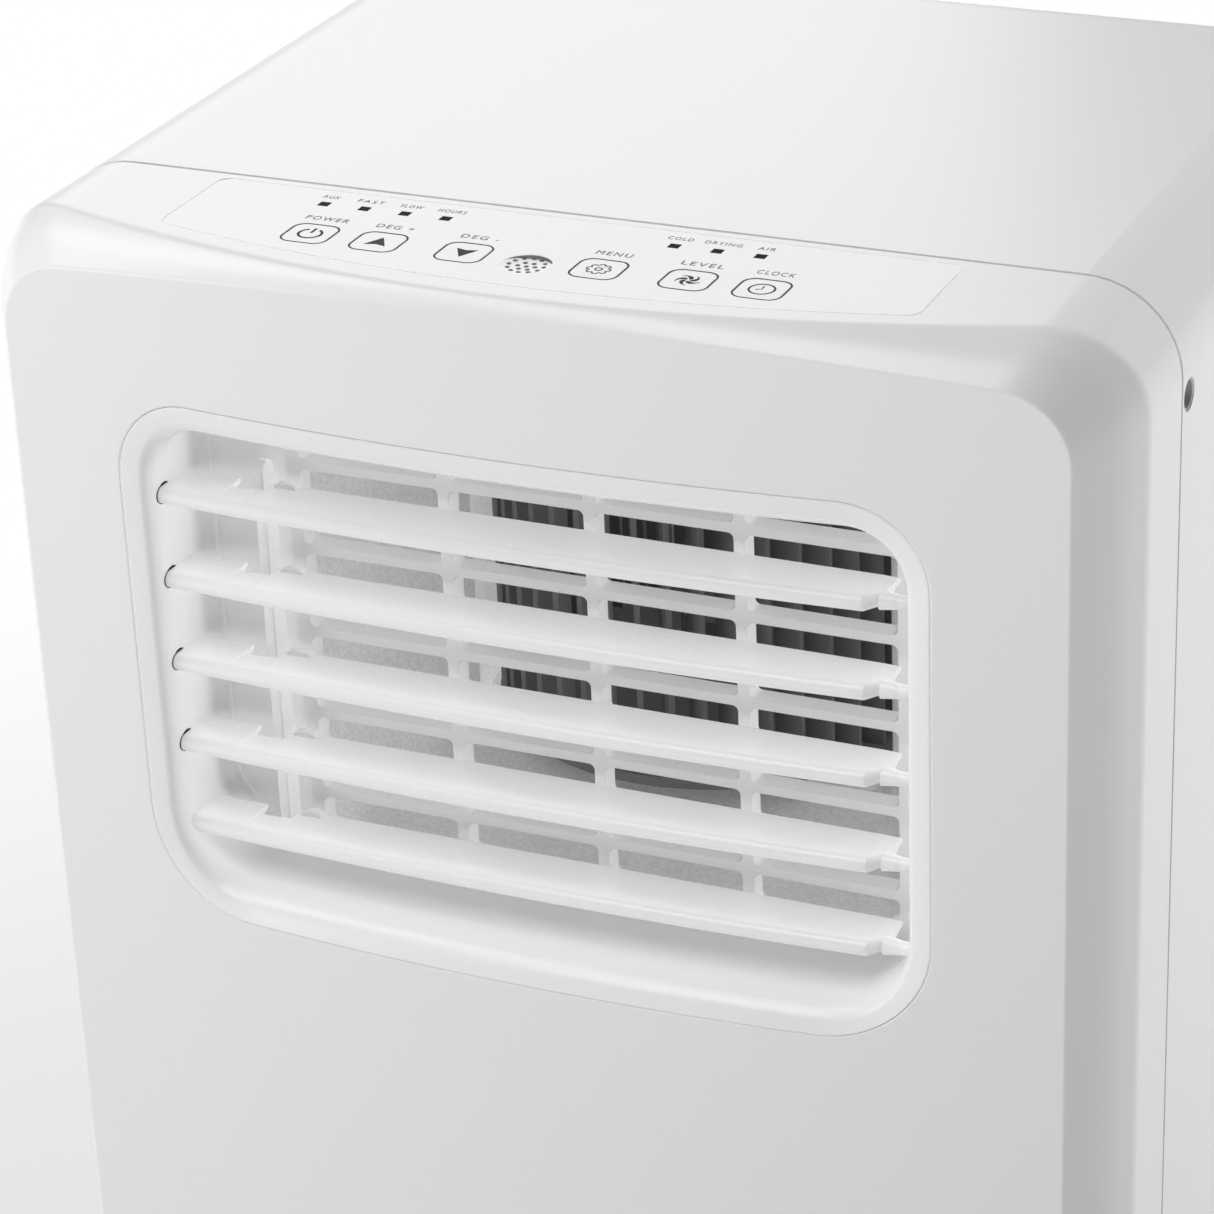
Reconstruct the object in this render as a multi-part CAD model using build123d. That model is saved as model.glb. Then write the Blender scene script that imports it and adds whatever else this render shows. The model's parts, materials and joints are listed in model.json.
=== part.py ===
from build123d import *
import math
import os

# Portable air conditioner on swivel casters, in millimetres.
# X runs to the right of somebody facing the outlet, Y to the back, Z up, floor at Z = 0.

# ---------------------------------------------------------------- driving dimensions
WIDTH, DEPTH, HEIGHT = 330.0, 280.0, 680.0
WALL = 2.5
HALF_W = WIDTH / 2
Y_FRONT, Y_BACK = -DEPTH / 2, DEPTH / 2
Y_SEAM = Y_FRONT + 65.5            # joint between the front cover and the rear casing
LONG_EDGE_R = 26.0                 # rounding of the two long top edges
BACK_EDGE_R = 12.0
SKIRT_Z, CASING_Z = 22.0, 58.0     # lower and upper edge of the base pan
SIDE_HOLE_Y, SIDE_HOLE_Z, SIDE_HOLE_R = Y_SEAM + 5.6, HEIGHT - 32.0, 4.6
FLOOR_Z, FLOOR_T = 44.0, 6.0       # pan floor, underside and thickness

# front cover: a rim on one large arc, a bevel, and a flatter bowed pad in front of it
RIM_R, RIM_Y = 401.0, Y_FRONT + 3.5
RIM_SIDE_Y = -102.5
PAD_R = 900.0
PAD_HALF = 151.5
PAD_TOP_DROP, PAD_CROWN_R = 5.0, 1350.0

# air outlet
WIN_HALF, WIN_TOP, WIN_BOTTOM = 117.2, 635.5, 477.7
WIN_TOP_R, WIN_BOTTOM_R = 24.0, 32.0
LIP_HALF, LIP_TOP, LIP_BOTTOM = 109.5, 625.5, 482.5
TUNNEL_HALF, TUNNEL_TOP, TUNNEL_BOTTOM = 115.0, 630.0, 490.0
LIP_BACK_Y = -129.0
GRILLE_Y, GRILLE_T = -105.5, 6.0

# louvres
LOUVRES, LOUVRE_PITCH = 5, 25.6
HINGE_Y, HINGE_Z = -121.5, 603.3
BLADE_LEFT, BLADE_RIGHT = -113.5, 101.0
NOSE_R, TAIL_T, TAIL_TOP = 2.7, 1.8, 1.4
NOSE_END, NOSE_MID, TAIL = 3.0, 7.0, 12.0
PIN_R, FIT = 2.0, 0.05
LINK_OFFSET = 9.5                  # link pin behind the hinge line
LINK_X0, LINK_X1 = -85.5, -82.3

# control panel
PANEL_HALF, PANEL_BACK_Y, PANEL_FRONT_Y, PANEL_R = 108.0, Y_SEAM - 4.4, Y_SEAM - 53.7, 440.0
PANEL_T, BED_T = 1.5, 3.0
KEY, KEY_GAP, KEY_R, KEY_CAP_T = 12.8, 0.35, 3.2, 3.0
KEY_Y = Y_SEAM - 36.0
KEY_X = {"key_power": -64.6, "key_temp_up": -44.3, "key_temp_down": -19.3,
         "key_mode": 19.3, "key_speed": 44.3, "key_timer": 64.6}
LED_Y = Y_SEAM - 14.5
LED_PITCH, LED_LEFT_X, LED_RIGHT_X, LED_HALF = 12.15, -71.4, 31.4, 1.6
SENSOR_Y, SENSOR_R, SENSOR_DOT_PITCH = Y_SEAM - 38.8, 7.0, 2.5

# refrigeration and air moving
BLOWER_X, BLOWER_Y, BLOWER_R, BLOWER_Z0, BLOWER_Z1 = 8.0, -10.0, 66.0, 510.0, 626.0
BLOWER_BLADES, BLADE_CHORD, BLADE_T = 44, 10.0, 1.6
THROAT_Y = -40.0                   # where the funnel meets the round chamber
SHAFT_R = 4.0
TRAY_Z, TRAY_T = 398.0, 6.0
EXHAUST_Z, EXHAUST_R = 322.0, 65.0
SHROUD_R, COLLAR_Y = 63.0, 124.0
FAN_Y, FAN_R = 104.0, 60.0
COMP_X, COMP_Y, COMP_R, COMP_FOOT_R = -75.0, -25.0, 58.0, 72.0

# rear panels
FILTER_HALF, FILTER_Z0, FILTER_Z1 = 118.0, 426.0, 642.0
LOWER_HALF, LOWER_Z0, LOWER_Z1 = 118.0, 86.0, 236.0
PANEL_GAP = 0.4
DRAIN_X, UPPER_DRAIN_Z, LOWER_DRAIN_Z = 135.0, 420.0, 78.0

# side grips
GRIP_Y, GRIP_Z, GRIP_L, GRIP_H = 40.0, 560.0, 112.0, 42.0
GRIP_DEPTH, GRIP_WALL, GRIP_CORNER_R = 26.0, 2.5, 12.0

# casters
CASTER_X, CASTER_FRONT_Y, CASTER_BACK_Y = 124.0, -92.0, 100.0
WHEEL_R, WHEEL_W, TRAIL = 17.0, 14.0, 9.0

parts = {}


# ---------------------------------------------------------------- small helpers
def block(x0, x1, y0, y1, z0, z1):
    return Pos((x0 + x1) / 2, (y0 + y1) / 2, (z0 + z1) / 2) * Box(x1 - x0, y1 - y0, z1 - z0)


def rod_x(x0, x1, y, z, r):
    return Pos((x0 + x1) / 2, y, z) * Rot(0, 90, 0) * Cylinder(r, x1 - x0)


def rod_y(x, y0, y1, z, r):
    return Pos(x, (y0 + y1) / 2, z) * Rot(90, 0, 0) * Cylinder(r, y1 - y0)


def rod_z(x, y, z0, z1, r):
    return Pos(x, y, (z0 + z1) / 2) * Cylinder(r, z1 - z0)


def front_sketch(sketch, y0, y1):
    """Extrude a sketch drawn in X and Z along Y."""
    plane = Plane(origin=(0, y1, 0), x_dir=(1, 0, 0), z_dir=(0, -1, 0))
    return extrude(plane * sketch, amount=y1 - y0)


def window_sketch(half, z0, z1, r_top, r_bottom):
    """Outline drawn in X and Z with its own radius at the top and at the bottom."""
    k = math.sqrt(0.5)
    edges = [
        Line((-half + r_top, z1), (half - r_top, z1)),
        ThreePointArc((half - r_top, z1),
                      (half - r_top + r_top * k, z1 - r_top + r_top * k), (half, z1 - r_top)),
        Line((half, z1 - r_top), (half, z0 + r_bottom)),
        ThreePointArc((half, z0 + r_bottom),
                      (half - r_bottom + r_bottom * k, z0 + r_bottom - r_bottom * k), (half - r_bottom, z0)),
        Line((half - r_bottom, z0), (-half + r_bottom, z0)),
        ThreePointArc((-half + r_bottom, z0),
                      (-half + r_bottom - r_bottom * k, z0 + r_bottom - r_bottom * k),
                      (-half, z0 + r_bottom)),
        Line((-half, z0 + r_bottom), (-half, z1 - r_top)),
        ThreePointArc((-half, z1 - r_top),
                      (-half + r_top - r_top * k, z1 - r_top + r_top * k), (-half + r_top, z1)),
    ]
    return make_face(edges)


def bow(x, radius, apex):
    """Y of a bowed front of the given radius, at a place x across."""
    return apex + x * x / (2 * radius)


def behind_pad(inset=0.0):
    """Everything behind the bowed pad surface, moved back by the inset."""
    radius = PAD_R - inset
    disc = Pos(0, Y_FRONT + inset + radius, HEIGHT / 2) * Cylinder(radius, 2 * HEIGHT)
    return disc & block(-HALF_W, HALF_W, Y_FRONT - 5, Y_BACK, 0, HEIGHT)


# ---------------------------------------------------------------- casings
def front_plan():
    """Outline of the front cover seen from above."""
    pad_y = bow(PAD_HALF, PAD_R, Y_FRONT)
    side = Polyline((-PAD_HALF, pad_y), (-HALF_W, RIM_SIDE_Y), (-HALF_W, Y_SEAM),
                    (HALF_W, Y_SEAM), (HALF_W, RIM_SIDE_Y), (PAD_HALF, pad_y))
    front = ThreePointArc((PAD_HALF, pad_y), (0, Y_FRONT), (-PAD_HALF, pad_y))
    return make_face([*side.edges(), front.edge()])


def top_bevel(inset):
    """Wedge that bevels the front of the top, from the rim arc down to the crowned pad edge."""
    reach = HALF_W + 2
    rim = ThreePointArc((-reach, bow(reach, RIM_R, RIM_Y), HEIGHT), (0, RIM_Y, HEIGHT),
                        (reach, bow(reach, RIM_R, RIM_Y), HEIGHT))
    drop_mid = HEIGHT - PAD_TOP_DROP
    drop_end = drop_mid - reach * reach / (2 * PAD_CROWN_R)
    pad = ThreePointArc((-reach, bow(reach, PAD_R, Y_FRONT), drop_end), (0, Y_FRONT, drop_mid),
                        (reach, bow(reach, PAD_R, Y_FRONT), drop_end))
    face = Face.make_surface_from_curves(rim.edge(), pad.edge())
    return Pos(0, inset * 0.7, -inset * 0.7) * Solid.extrude(face, Vector(0, -30, 30))


def tube_sketch(inset, z0):
    """Front view of the casings: square at the bottom, rounded long edges at the top."""
    half, top, r = HALF_W - inset, HEIGHT - inset, LONG_EDGE_R - inset
    k = r * (1 - math.sqrt(0.5))
    walls = Polyline((-half, top - r), (-half, z0), (half, z0), (half, top - r))
    right = ThreePointArc((half, top - r), (half - k, top - k), (half - r, top))
    left = ThreePointArc((-half + r, top), (-half + k, top - k), (-half, top - r))
    crown = Line((half - r, top), (-half + r, top))
    return make_face([*walls.edges(), right.edge(), crown.edge(), left.edge()])


def front_body(inset, z0):
    plan = front_plan()
    if inset:
        plan = offset(plan, amount=-inset, kind=Kind.INTERSECTION)
        plan = plan + Pos(0, Y_SEAM - inset) * Rectangle(WIDTH - 2 * inset, 2 * inset)
    body = Pos(0, 0, z0) * extrude(plan, amount=HEIGHT - z0)
    tube = front_sketch(tube_sketch(inset, z0), Y_FRONT - 5, Y_SEAM + inset)
    return (body & tube) - top_bevel(inset)


def panel_sketch(grow=0.0):
    """Control panel outline: straight back, bowed front, small corner radii."""
    half = PANEL_HALF + grow
    back, front = PANEL_BACK_Y + grow, PANEL_FRONT_Y - grow
    corner_y = bow(half, PANEL_R, front)
    sides = Polyline((-half, corner_y), (-half, back), (half, back), (half, corner_y))
    arc = ThreePointArc((half, corner_y), (0, front), (-half, corner_y))
    face = make_face([*sides.edges(), arc.edge()])
    return fillet(face.vertices(), 4.0)


def make_front_cover():
    shell = front_body(0, CASING_Z) - front_body(WALL, CASING_Z - 5)
    bed = Pos(0, 0, HEIGHT - PANEL_T - BED_T) * extrude(panel_sketch(3.0), amount=BED_T + 0.5)
    shell += bed & front_body(0.5, CASING_Z)
    shell -= Pos(0, 0, HEIGHT - PANEL_T) * extrude(panel_sketch(0.15), amount=PANEL_T + 1)
    hole = window_sketch(WIN_HALF + 0.2, WIN_BOTTOM - 0.2, WIN_TOP + 0.2, WIN_TOP_R, WIN_BOTTOM_R)
    shell -= front_sketch(hole, Y_FRONT - 5, Y_SEAM - 20)
    well = KEY + 2 * KEY_GAP
    for x in KEY_X.values():
        shell -= Pos(x, KEY_Y, HEIGHT) * Box(well, well, 20)
    parts["front_cover"] = shell


def make_rear_casing():
    outer = front_sketch(tube_sketch(0, CASING_Z), Y_SEAM, Y_BACK)
    corners = outer.faces().sort_by(Axis.Y)[-1].edges().filter_by(lambda e: e.center().Z > CASING_Z + 1)
    outer = fillet(corners, BACK_EDGE_R)
    cavity = front_sketch(tube_sketch(WALL, CASING_Z - 5), Y_SEAM - 1, Y_BACK - WALL)
    corners = cavity.faces().sort_by(Axis.Y)[-1].edges().filter_by(lambda e: e.center().Z > CASING_Z)
    cavity = fillet(corners, BACK_EDGE_R - WALL)
    shell = outer - cavity
    shell -= block(-FILTER_HALF - 2, FILTER_HALF + 2, Y_BACK - 10, Y_BACK + 1, FILTER_Z0 - 2, FILTER_Z1 + 2)
    shell -= block(-LOWER_HALF, LOWER_HALF, Y_BACK - 10, Y_BACK + 1, LOWER_Z0, LOWER_Z1)
    shell -= rod_y(0, Y_BACK - 10, Y_BACK + 1, EXHAUST_Z, EXHAUST_R + 9)
    for z in (UPPER_DRAIN_Z, LOWER_DRAIN_Z):
        shell -= rod_y(DRAIN_X, Y_BACK - 20, Y_BACK + 1, z, 12.0)
    shell -= rod_y(-130, Y_BACK - 10, Y_BACK + 1, 262, 8.0)
    for side in (-1, 1):
        shell -= grip_block(side, -5, 10, 0)
        shell -= rod_x(side * HALF_W - 10, side * HALF_W + 10, SIDE_HOLE_Y, SIDE_HOLE_Z, SIDE_HOLE_R)
    for x, z in screw_places():
        shell -= rod_y(x, Y_BACK - 10, Y_BACK + 1, z, 4.2)
    parts["rear_casing"] = shell


def screw_places():
    return [(side * 142, z) for side in (-1, 1) for z in (112, 200, 345, 520, 645)]


def make_screws():
    """Countersunk self-tapping screws along the back edges of the casing."""
    solids = []
    for x, z in screw_places():
        head = rod_y(x, Y_BACK - 2.2, Y_BACK - 0.3, z, 4.2)
        shank = rod_y(x, Y_BACK - 14, Y_BACK - 2.2, z, 1.8)
        slot = Pos(x, Y_BACK, z) * (Box(5, 2, 1) + Box(1, 2, 5))
        solids.append(head + shank - slot)
    parts["casing_screws"] = Compound(solids)


def make_side_screw_seats():
    """Blind cups in the two holes in the sides, where the front cover is screwed to the casing."""
    cups = []
    for side in (-1, 1):
        out = side * HALF_W
        ends = sorted((out - side * 9.0, out - side * 0.4))
        cup = rod_x(*ends, SIDE_HOLE_Y, SIDE_HOLE_Z, SIDE_HOLE_R)
        mouth = sorted((out - side * 7.0, out + side * 1.0))
        cups.append(cup - rod_x(*mouth, SIDE_HOLE_Y, SIDE_HOLE_Z, SIDE_HOLE_R - 0.8))
    parts["side_screw_seats"] = Compound(cups)


def make_base_pan():
    rear = block(-HALF_W, HALF_W, Y_SEAM, Y_BACK, SKIRT_Z, CASING_Z)
    rear = fillet(rear.edges().filter_by(Axis.Z).sort_by(Axis.Y)[-2:], BACK_EDGE_R)
    outer = Pos(0, 0, SKIRT_Z) * extrude(front_plan(), amount=CASING_Z - SKIRT_Z) + rear
    inner_plan = offset(front_plan(), amount=-3, kind=Kind.INTERSECTION)
    inner = extrude(inner_plan, amount=HEIGHT)
    rear_inner = block(-HALF_W + 3, HALF_W - 3, Y_SEAM - 10, Y_BACK - 3, 0, HEIGHT)
    inner += fillet(rear_inner.edges().filter_by(Axis.Z).sort_by(Axis.Y)[-2:], BACK_EDGE_R - 3)
    below = inner & block(-HALF_W, HALF_W, Y_FRONT, Y_BACK, 0, FLOOR_Z)
    above = inner & block(-HALF_W, HALF_W, Y_FRONT, Y_BACK, FLOOR_Z + FLOOR_T, HEIGHT)
    pan = outer - below - above
    for x, y in caster_places():
        pan += rod_z(x, y, FLOOR_Z, FLOOR_Z + 12, 11)
        pan -= rod_z(x, y, FLOOR_Z - 1, FLOOR_Z + 9, 5.0 + FIT)
    for x, y in compressor_feet():
        pan += rod_z(x, y, FLOOR_Z + FLOOR_T, FLOOR_Z + FLOOR_T + 3, 9)
    parts["base_pan"] = pan


# ---------------------------------------------------------------- air outlet
def make_outlet_frame():
    outer = window_sketch(WIN_HALF, WIN_BOTTOM, WIN_TOP, WIN_TOP_R, WIN_BOTTOM_R)
    body = front_sketch(outer, Y_FRONT - 2, GRILLE_Y) & behind_pad(0.3)
    lip = window_sketch(LIP_HALF, LIP_BOTTOM, LIP_TOP, 16, 22)
    body -= front_sketch(lip, Y_FRONT - 5, LIP_BACK_Y + 0.01)
    tunnel = window_sketch(TUNNEL_HALF, TUNNEL_BOTTOM, TUNNEL_TOP, 6, 6)
    body -= front_sketch(tunnel, LIP_BACK_Y, GRILLE_Y + 1)
    scoop = Polyline((LIP_BACK_Y - 8, LIP_BOTTOM + 0.5), (GRILLE_Y, TUNNEL_BOTTOM + 3),
                     (GRILLE_Y, TUNNEL_BOTTOM + 20), (LIP_BACK_Y - 8, LIP_BOTTOM + 20), close=True)
    profile = Plane.YZ * make_face(scoop.edges())
    body -= extrude(profile, amount=LIP_HALF - 6, both=True)
    for k in range(LOUVRES):
        z = HINGE_Z - k * LOUVRE_PITCH
        body -= rod_x(-WIN_HALF - 1, WIN_HALF + 1, HINGE_Y, z, PIN_R + FIT)
    parts["outlet_frame"] = body


def make_outlet_grille():
    """Fixed guard with rows of slots; its left strip is plain, behind the link bar."""
    plate = block(-TUNNEL_HALF - 2, TUNNEL_HALF + 2, GRILLE_Y, GRILLE_Y + GRILLE_T,
                  TUNNEL_BOTTOM - 8, TUNNEL_TOP + 2)
    left, columns, column_pitch, rib = -74.2, 4, 43.4, 3.5
    top_slot, slot_h, row_pitch, rows = HEIGHT - 60.1, 8.7, LOUVRE_PITCH / 2, 10
    slot = extrude(Plane.XZ * RectangleRounded(column_pitch - rib, slot_h, 1.6), amount=20, both=True)
    for i in range(columns):
        x = left + (i + 0.5) * column_pitch
        for j in range(rows):
            plate -= Pos(x, GRILLE_Y, top_slot - slot_h / 2 - j * row_pitch) * slot
    parts["outlet_grille"] = plate


def blade_slice(x, nose):
    """Side profile of a louvre at one place along it: round nose, flat thin tail."""
    y_nose, y_tail = HINGE_Y - nose, HINGE_Y + TAIL
    y_bend = y_tail - TAIL_T / 2
    points = [(y_nose, NOSE_R), (y_bend, TAIL_TOP), (y_bend, TAIL_TOP - TAIL_T), (y_nose, -NOSE_R)]
    top = Line(points[0], points[1])
    tail = ThreePointArc(points[1], (y_tail, TAIL_TOP - TAIL_T / 2), points[2])
    under = Line(points[2], points[3])
    front = ThreePointArc(points[3], (y_nose - NOSE_R, 0), points[0])
    return Plane(origin=(x, 0, 0), x_dir=(0, 1, 0), z_dir=(1, 0, 0)) * make_face([top, tail, under, front])


def make_blade():
    """One louvre about Z = 0, with its nose bowed, two pins, and the notch with the link pin."""
    middle = (BLADE_LEFT + BLADE_RIGHT) / 2
    half = (BLADE_RIGHT - BLADE_LEFT) / 2
    stations = [BLADE_LEFT + i * half / 3 for i in range(7)]
    slices = [blade_slice(x, NOSE_MID - (NOSE_MID - NOSE_END) * ((x - middle) / half) ** 2) for x in stations]
    blade = loft(slices)
    neck = Pos(BLADE_RIGHT + 3, HINGE_Y, 0) * Rot(0, 90, 0) * Cone(2.6, PIN_R, 6)
    blade += neck + rod_x(BLADE_RIGHT - 1, WIN_HALF - 0.2, HINGE_Y, 0, PIN_R)
    blade += rod_x(-WIN_HALF + 0.2, BLADE_LEFT + 4, HINGE_Y, 0, PIN_R)
    notch_front = HINGE_Y + 3.5
    blade -= block(-92.8, LINK_X1 + 0.6, notch_front, HINGE_Y + TAIL + 5, -6, 6)
    blade += rod_x(-94, LINK_X1 + 2.0, HINGE_Y + LINK_OFFSET, 0, 1.3)
    return blade


def make_louvres():
    blade = make_blade()
    for k in range(LOUVRES):
        parts[f"louvre_{k + 1}"] = Pos(0, 0, HINGE_Z - k * LOUVRE_PITCH) * blade


def make_link_bar():
    y = HINGE_Y + LINK_OFFSET
    z_low = HINGE_Z - (LOUVRES - 1) * LOUVRE_PITCH
    bar = block(LINK_X0, LINK_X1, y - 2.6, y + 2.6, z_low - 4, HINGE_Z + 9)
    tips = bar.edges().filter_by(Axis.X).sort_by(Axis.Z)
    bar = fillet(tips[-2:], 2.4)
    for k in range(LOUVRES):
        bar -= rod_x(LINK_X0 - 1, LINK_X1 + 1, y, HINGE_Z - k * LOUVRE_PITCH, 1.3 + FIT)
    parts["louvre_link_bar"] = bar


# ---------------------------------------------------------------- control panel
def led_places():
    left = [LED_LEFT_X + i * LED_PITCH for i in range(4)]
    right = [LED_RIGHT_X + i * LED_PITCH for i in range(3)]
    return left + right


def make_control_panel():
    overlay = Pos(0, 0, HEIGHT - PANEL_T) * extrude(panel_sketch(0), amount=PANEL_T)
    well = KEY + 2 * KEY_GAP
    lights = []
    for x in KEY_X.values():
        overlay -= Pos(x, KEY_Y, HEIGHT) * extrude(RectangleRounded(well, well, KEY_R + KEY_GAP), amount=5, both=True)
    for x in led_places():
        y0, y1 = LED_Y - LED_HALF, LED_Y + LED_HALF
        light = block(x - LED_HALF, x + LED_HALF, y0, y1, HEIGHT - PANEL_T, HEIGHT - 0.1)
        lights.append(light)
        overlay -= block(x - LED_HALF, x + LED_HALF, y0, y1, HEIGHT - PANEL_T - 1, HEIGHT + 1)
    overlay -= rod_z(0, SENSOR_Y, HEIGHT - 5, HEIGHT + 1, SENSOR_R)
    parts["control_overlay"] = overlay
    parts["indicator_leds"] = Compound(lights)


def make_receiver():
    """Dished disc with rings of small holes over the remote-control receiver."""
    disc = rod_z(0, SENSOR_Y, HEIGHT - PANEL_T, HEIGHT - 0.05, SENSOR_R)
    dish_r = 40.0
    disc -= Pos(0, SENSOR_Y, HEIGHT + dish_r - 0.65) * Sphere(dish_r)
    for ring, count in ((0, 1), (SENSOR_DOT_PITCH, 6), (2 * SENSOR_DOT_PITCH, 12)):
        for i in range(count):
            a = 2 * math.pi * i / count
            disc -= rod_z(ring * math.cos(a), SENSOR_Y + ring * math.sin(a), HEIGHT - 1.3, HEIGHT + 1, 0.5)
    parts["signal_receiver"] = disc


def make_keys():
    for name, x in KEY_X.items():
        cap = extrude(RectangleRounded(KEY, KEY, KEY_R), amount=KEY_CAP_T)
        cap = Pos(x, KEY_Y, HEIGHT - KEY_CAP_T) * chamfer(cap.faces().sort_by(Axis.Z)[-1].edges(), 0.15)
        stem = rod_z(x, KEY_Y, HEIGHT - 10.4, HEIGHT - KEY_CAP_T, 1.8)
        parts[name] = cap + stem


def make_control_board():
    """Circuit board under the panel: a push switch below each key, the receiver and two posts."""
    top = HEIGHT - 15.0
    board = block(-84, 84, KEY_Y - 9, LED_Y + 6, top - 1.6, top)
    for x in KEY_X.values():
        board += Pos(x, KEY_Y, top + 1.6) * Box(6, 6, 3.2)
        board += rod_z(x, KEY_Y, top + 3.0, top + 3.6, 1.7)
    board += Pos(0, SENSOR_Y, top + 2.5) * Box(6, 5, 5)
    board += Pos(-30, LED_Y + 1, top - 4.5) * Box(34, 8, 7)
    for x in (-80, 80):
        post = rod_z(x, KEY_Y + 8, top, HEIGHT - PANEL_T - BED_T, 3.0)
        board += post
    parts["control_board"] = board


# ---------------------------------------------------------------- upper, cold section
def make_blower_scroll():
    """Foam scroll: funnel towards the outlet, round chamber for the wheel, motor well below."""
    foam = block(-118, 118, GRILLE_Y + GRILLE_T, 76, TRAY_Z + TRAY_T, 642)
    mouth = Plane(origin=(0, GRILLE_Y + GRILLE_T, 0), x_dir=(1, 0, 0), z_dir=(0, -1, 0))
    throat = Plane(origin=(0, THROAT_Y, 0), x_dir=(1, 0, 0), z_dir=(0, -1, 0))
    funnel = loft([mouth * Pos(9.3, 557) * RectangleRounded(178.6, 138, 5),
                   throat * Pos(7.5, 567) * RectangleRounded(130, 120, 4)])
    foam -= funnel
    foam -= rod_z(BLOWER_X, BLOWER_Y, BLOWER_Z0 - 6, BLOWER_Z1 + 4, BLOWER_R + 6)
    foam -= rod_z(BLOWER_X, BLOWER_Y, BLOWER_Z1, 650, BLOWER_R - 14)
    foam -= rod_z(BLOWER_X, BLOWER_Y, TRAY_Z, 472, 46)
    foam -= rod_z(BLOWER_X, BLOWER_Y, 470, BLOWER_Z0, SHAFT_R + 4)
    parts["blower_scroll"] = foam


def make_blower_wheel():
    z0, z1 = BLOWER_Z0, BLOWER_Z1
    wheel = rod_z(0, 0, z0, z0 + 2.5, BLOWER_R) + rod_z(0, 0, z0, z0 + 26, 12)
    for z in (z0, z1 - 3):
        wheel += rod_z(0, 0, z, z + 3, BLOWER_R) - rod_z(0, 0, z - 1, z + 4, BLOWER_R - 11 if z > z0 else 1)
    blade = Pos(BLOWER_R - 5.2, 0, (z0 + z1) / 2) * Rot(0, 0, 28) * Box(BLADE_CHORD, BLADE_T, z1 - z0 - 1)
    for i in range(BLOWER_BLADES):
        wheel += Rot(0, 0, 360 * i / BLOWER_BLADES) * blade
    wheel -= rod_z(0, 0, z0 - 1, z0 + 22, SHAFT_R + FIT)
    parts["blower_wheel"] = Pos(BLOWER_X, BLOWER_Y, 0) * wheel


def make_blower_motor():
    motor = rod_z(0, 0, 424, 466, 36)
    motor = fillet(motor.edges().filter_by(GeomType.CIRCLE), 4)
    motor += rod_z(0, 0, 466, 470, 12) + rod_z(0, 0, 468, BLOWER_Z0 + 20, SHAFT_R)
    for i in range(3):
        leg = Pos(38, 0, (TRAY_Z + TRAY_T + 430) / 2) * Cylinder(4, 430 - TRAY_Z - TRAY_T)
        lug = Pos(36, 0, 428) * Box(12, 8, 4)
        motor += Rot(0, 0, 120 * i) * (leg + lug)
    parts["blower_motor"] = Pos(BLOWER_X, BLOWER_Y, 0) * motor


def make_coil(x_half, y0, y1, z0, z1, fin_gap):
    """Finned core between two end plates, with return bends standing out of each plate."""
    core = block(-x_half + 2, x_half - 2, y0 + 2, y1 - 2, z0, z1)
    grooves = int((z1 - z0) / fin_gap)
    for i in range(1, grooves):
        z = z0 + i * (z1 - z0) / grooves
        core -= block(-x_half + 4, x_half - 4, y0, y0 + 3.2, z - 0.8, z + 0.8)
        core -= block(-x_half + 4, x_half - 4, y1 - 3.2, y1, z - 0.8, z + 0.8)
    plates = block(-x_half, -x_half + 2, y0, y1, z0, z1) + block(x_half - 2, x_half, y0, y1, z0, z1)
    return core + plates


def make_coils():
    evaporator = make_coil(114, 80, 114, TRAY_Z + TRAY_T + 8, 636, 9)
    condenser = make_coil(114, 88, 120, FLOOR_Z + FLOOR_T + 12, 238, 9)
    parts["evaporator_coil"] = evaporator
    parts["condenser_coil"] = condenser


def make_drip_tray():
    """Partition between the cold and the warm section, with a trough under the evaporator."""
    z = TRAY_Z
    tray = block(-160, 160, Y_SEAM + 3, 134, z, z + TRAY_T)
    trough = block(-120, 120, 78, 116, z + TRAY_T, z + TRAY_T + 8)
    trough -= block(-117, 117, 81, 113, z + TRAY_T + 5, z + TRAY_T + 9)
    tray += trough
    for side in (-1, 1):
        tray -= rod_z(side * 138, 96, z - 1, z + TRAY_T + 1, 9)
    parts["drip_tray"] = tray


def make_drain_spouts():
    spouts, caps = [], []
    for name, z in (("upper_drain_cap", UPPER_DRAIN_Z), ("lower_drain_cap", LOWER_DRAIN_Z)):
        tube = rod_y(DRAIN_X, Y_BACK - 24, Y_BACK - 4, z, 7.5) - rod_y(DRAIN_X, Y_BACK - 25, Y_BACK, z, 5.5)
        flange = rod_y(DRAIN_X, Y_BACK - 14, Y_BACK - 12, z, 11.9)
        flange -= rod_y(DRAIN_X, Y_BACK - 25, Y_BACK, z, 5.5)
        spouts.append(tube + flange)
        cap = rod_y(DRAIN_X, Y_BACK - 11.4, Y_BACK - 0.5, z, 11.2)
        cap -= rod_y(DRAIN_X, Y_BACK - 12, Y_BACK - 3, z, 7.5 + FIT)
        grip = Pos(DRAIN_X, Y_BACK, z) * Box(26, 5, 3)
        parts[name] = cap - (grip - Pos(DRAIN_X, Y_BACK, z) * Box(4, 6, 6))
    parts["drain_spouts"] = Compound(spouts)


# ---------------------------------------------------------------- lower, warm section
def compressor_feet():
    turns = [math.radians(a) for a in (90, 210, 330)]
    return [(COMP_X + COMP_FOOT_R * math.cos(a), COMP_Y + COMP_FOOT_R * math.sin(a)) for a in turns]


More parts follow.
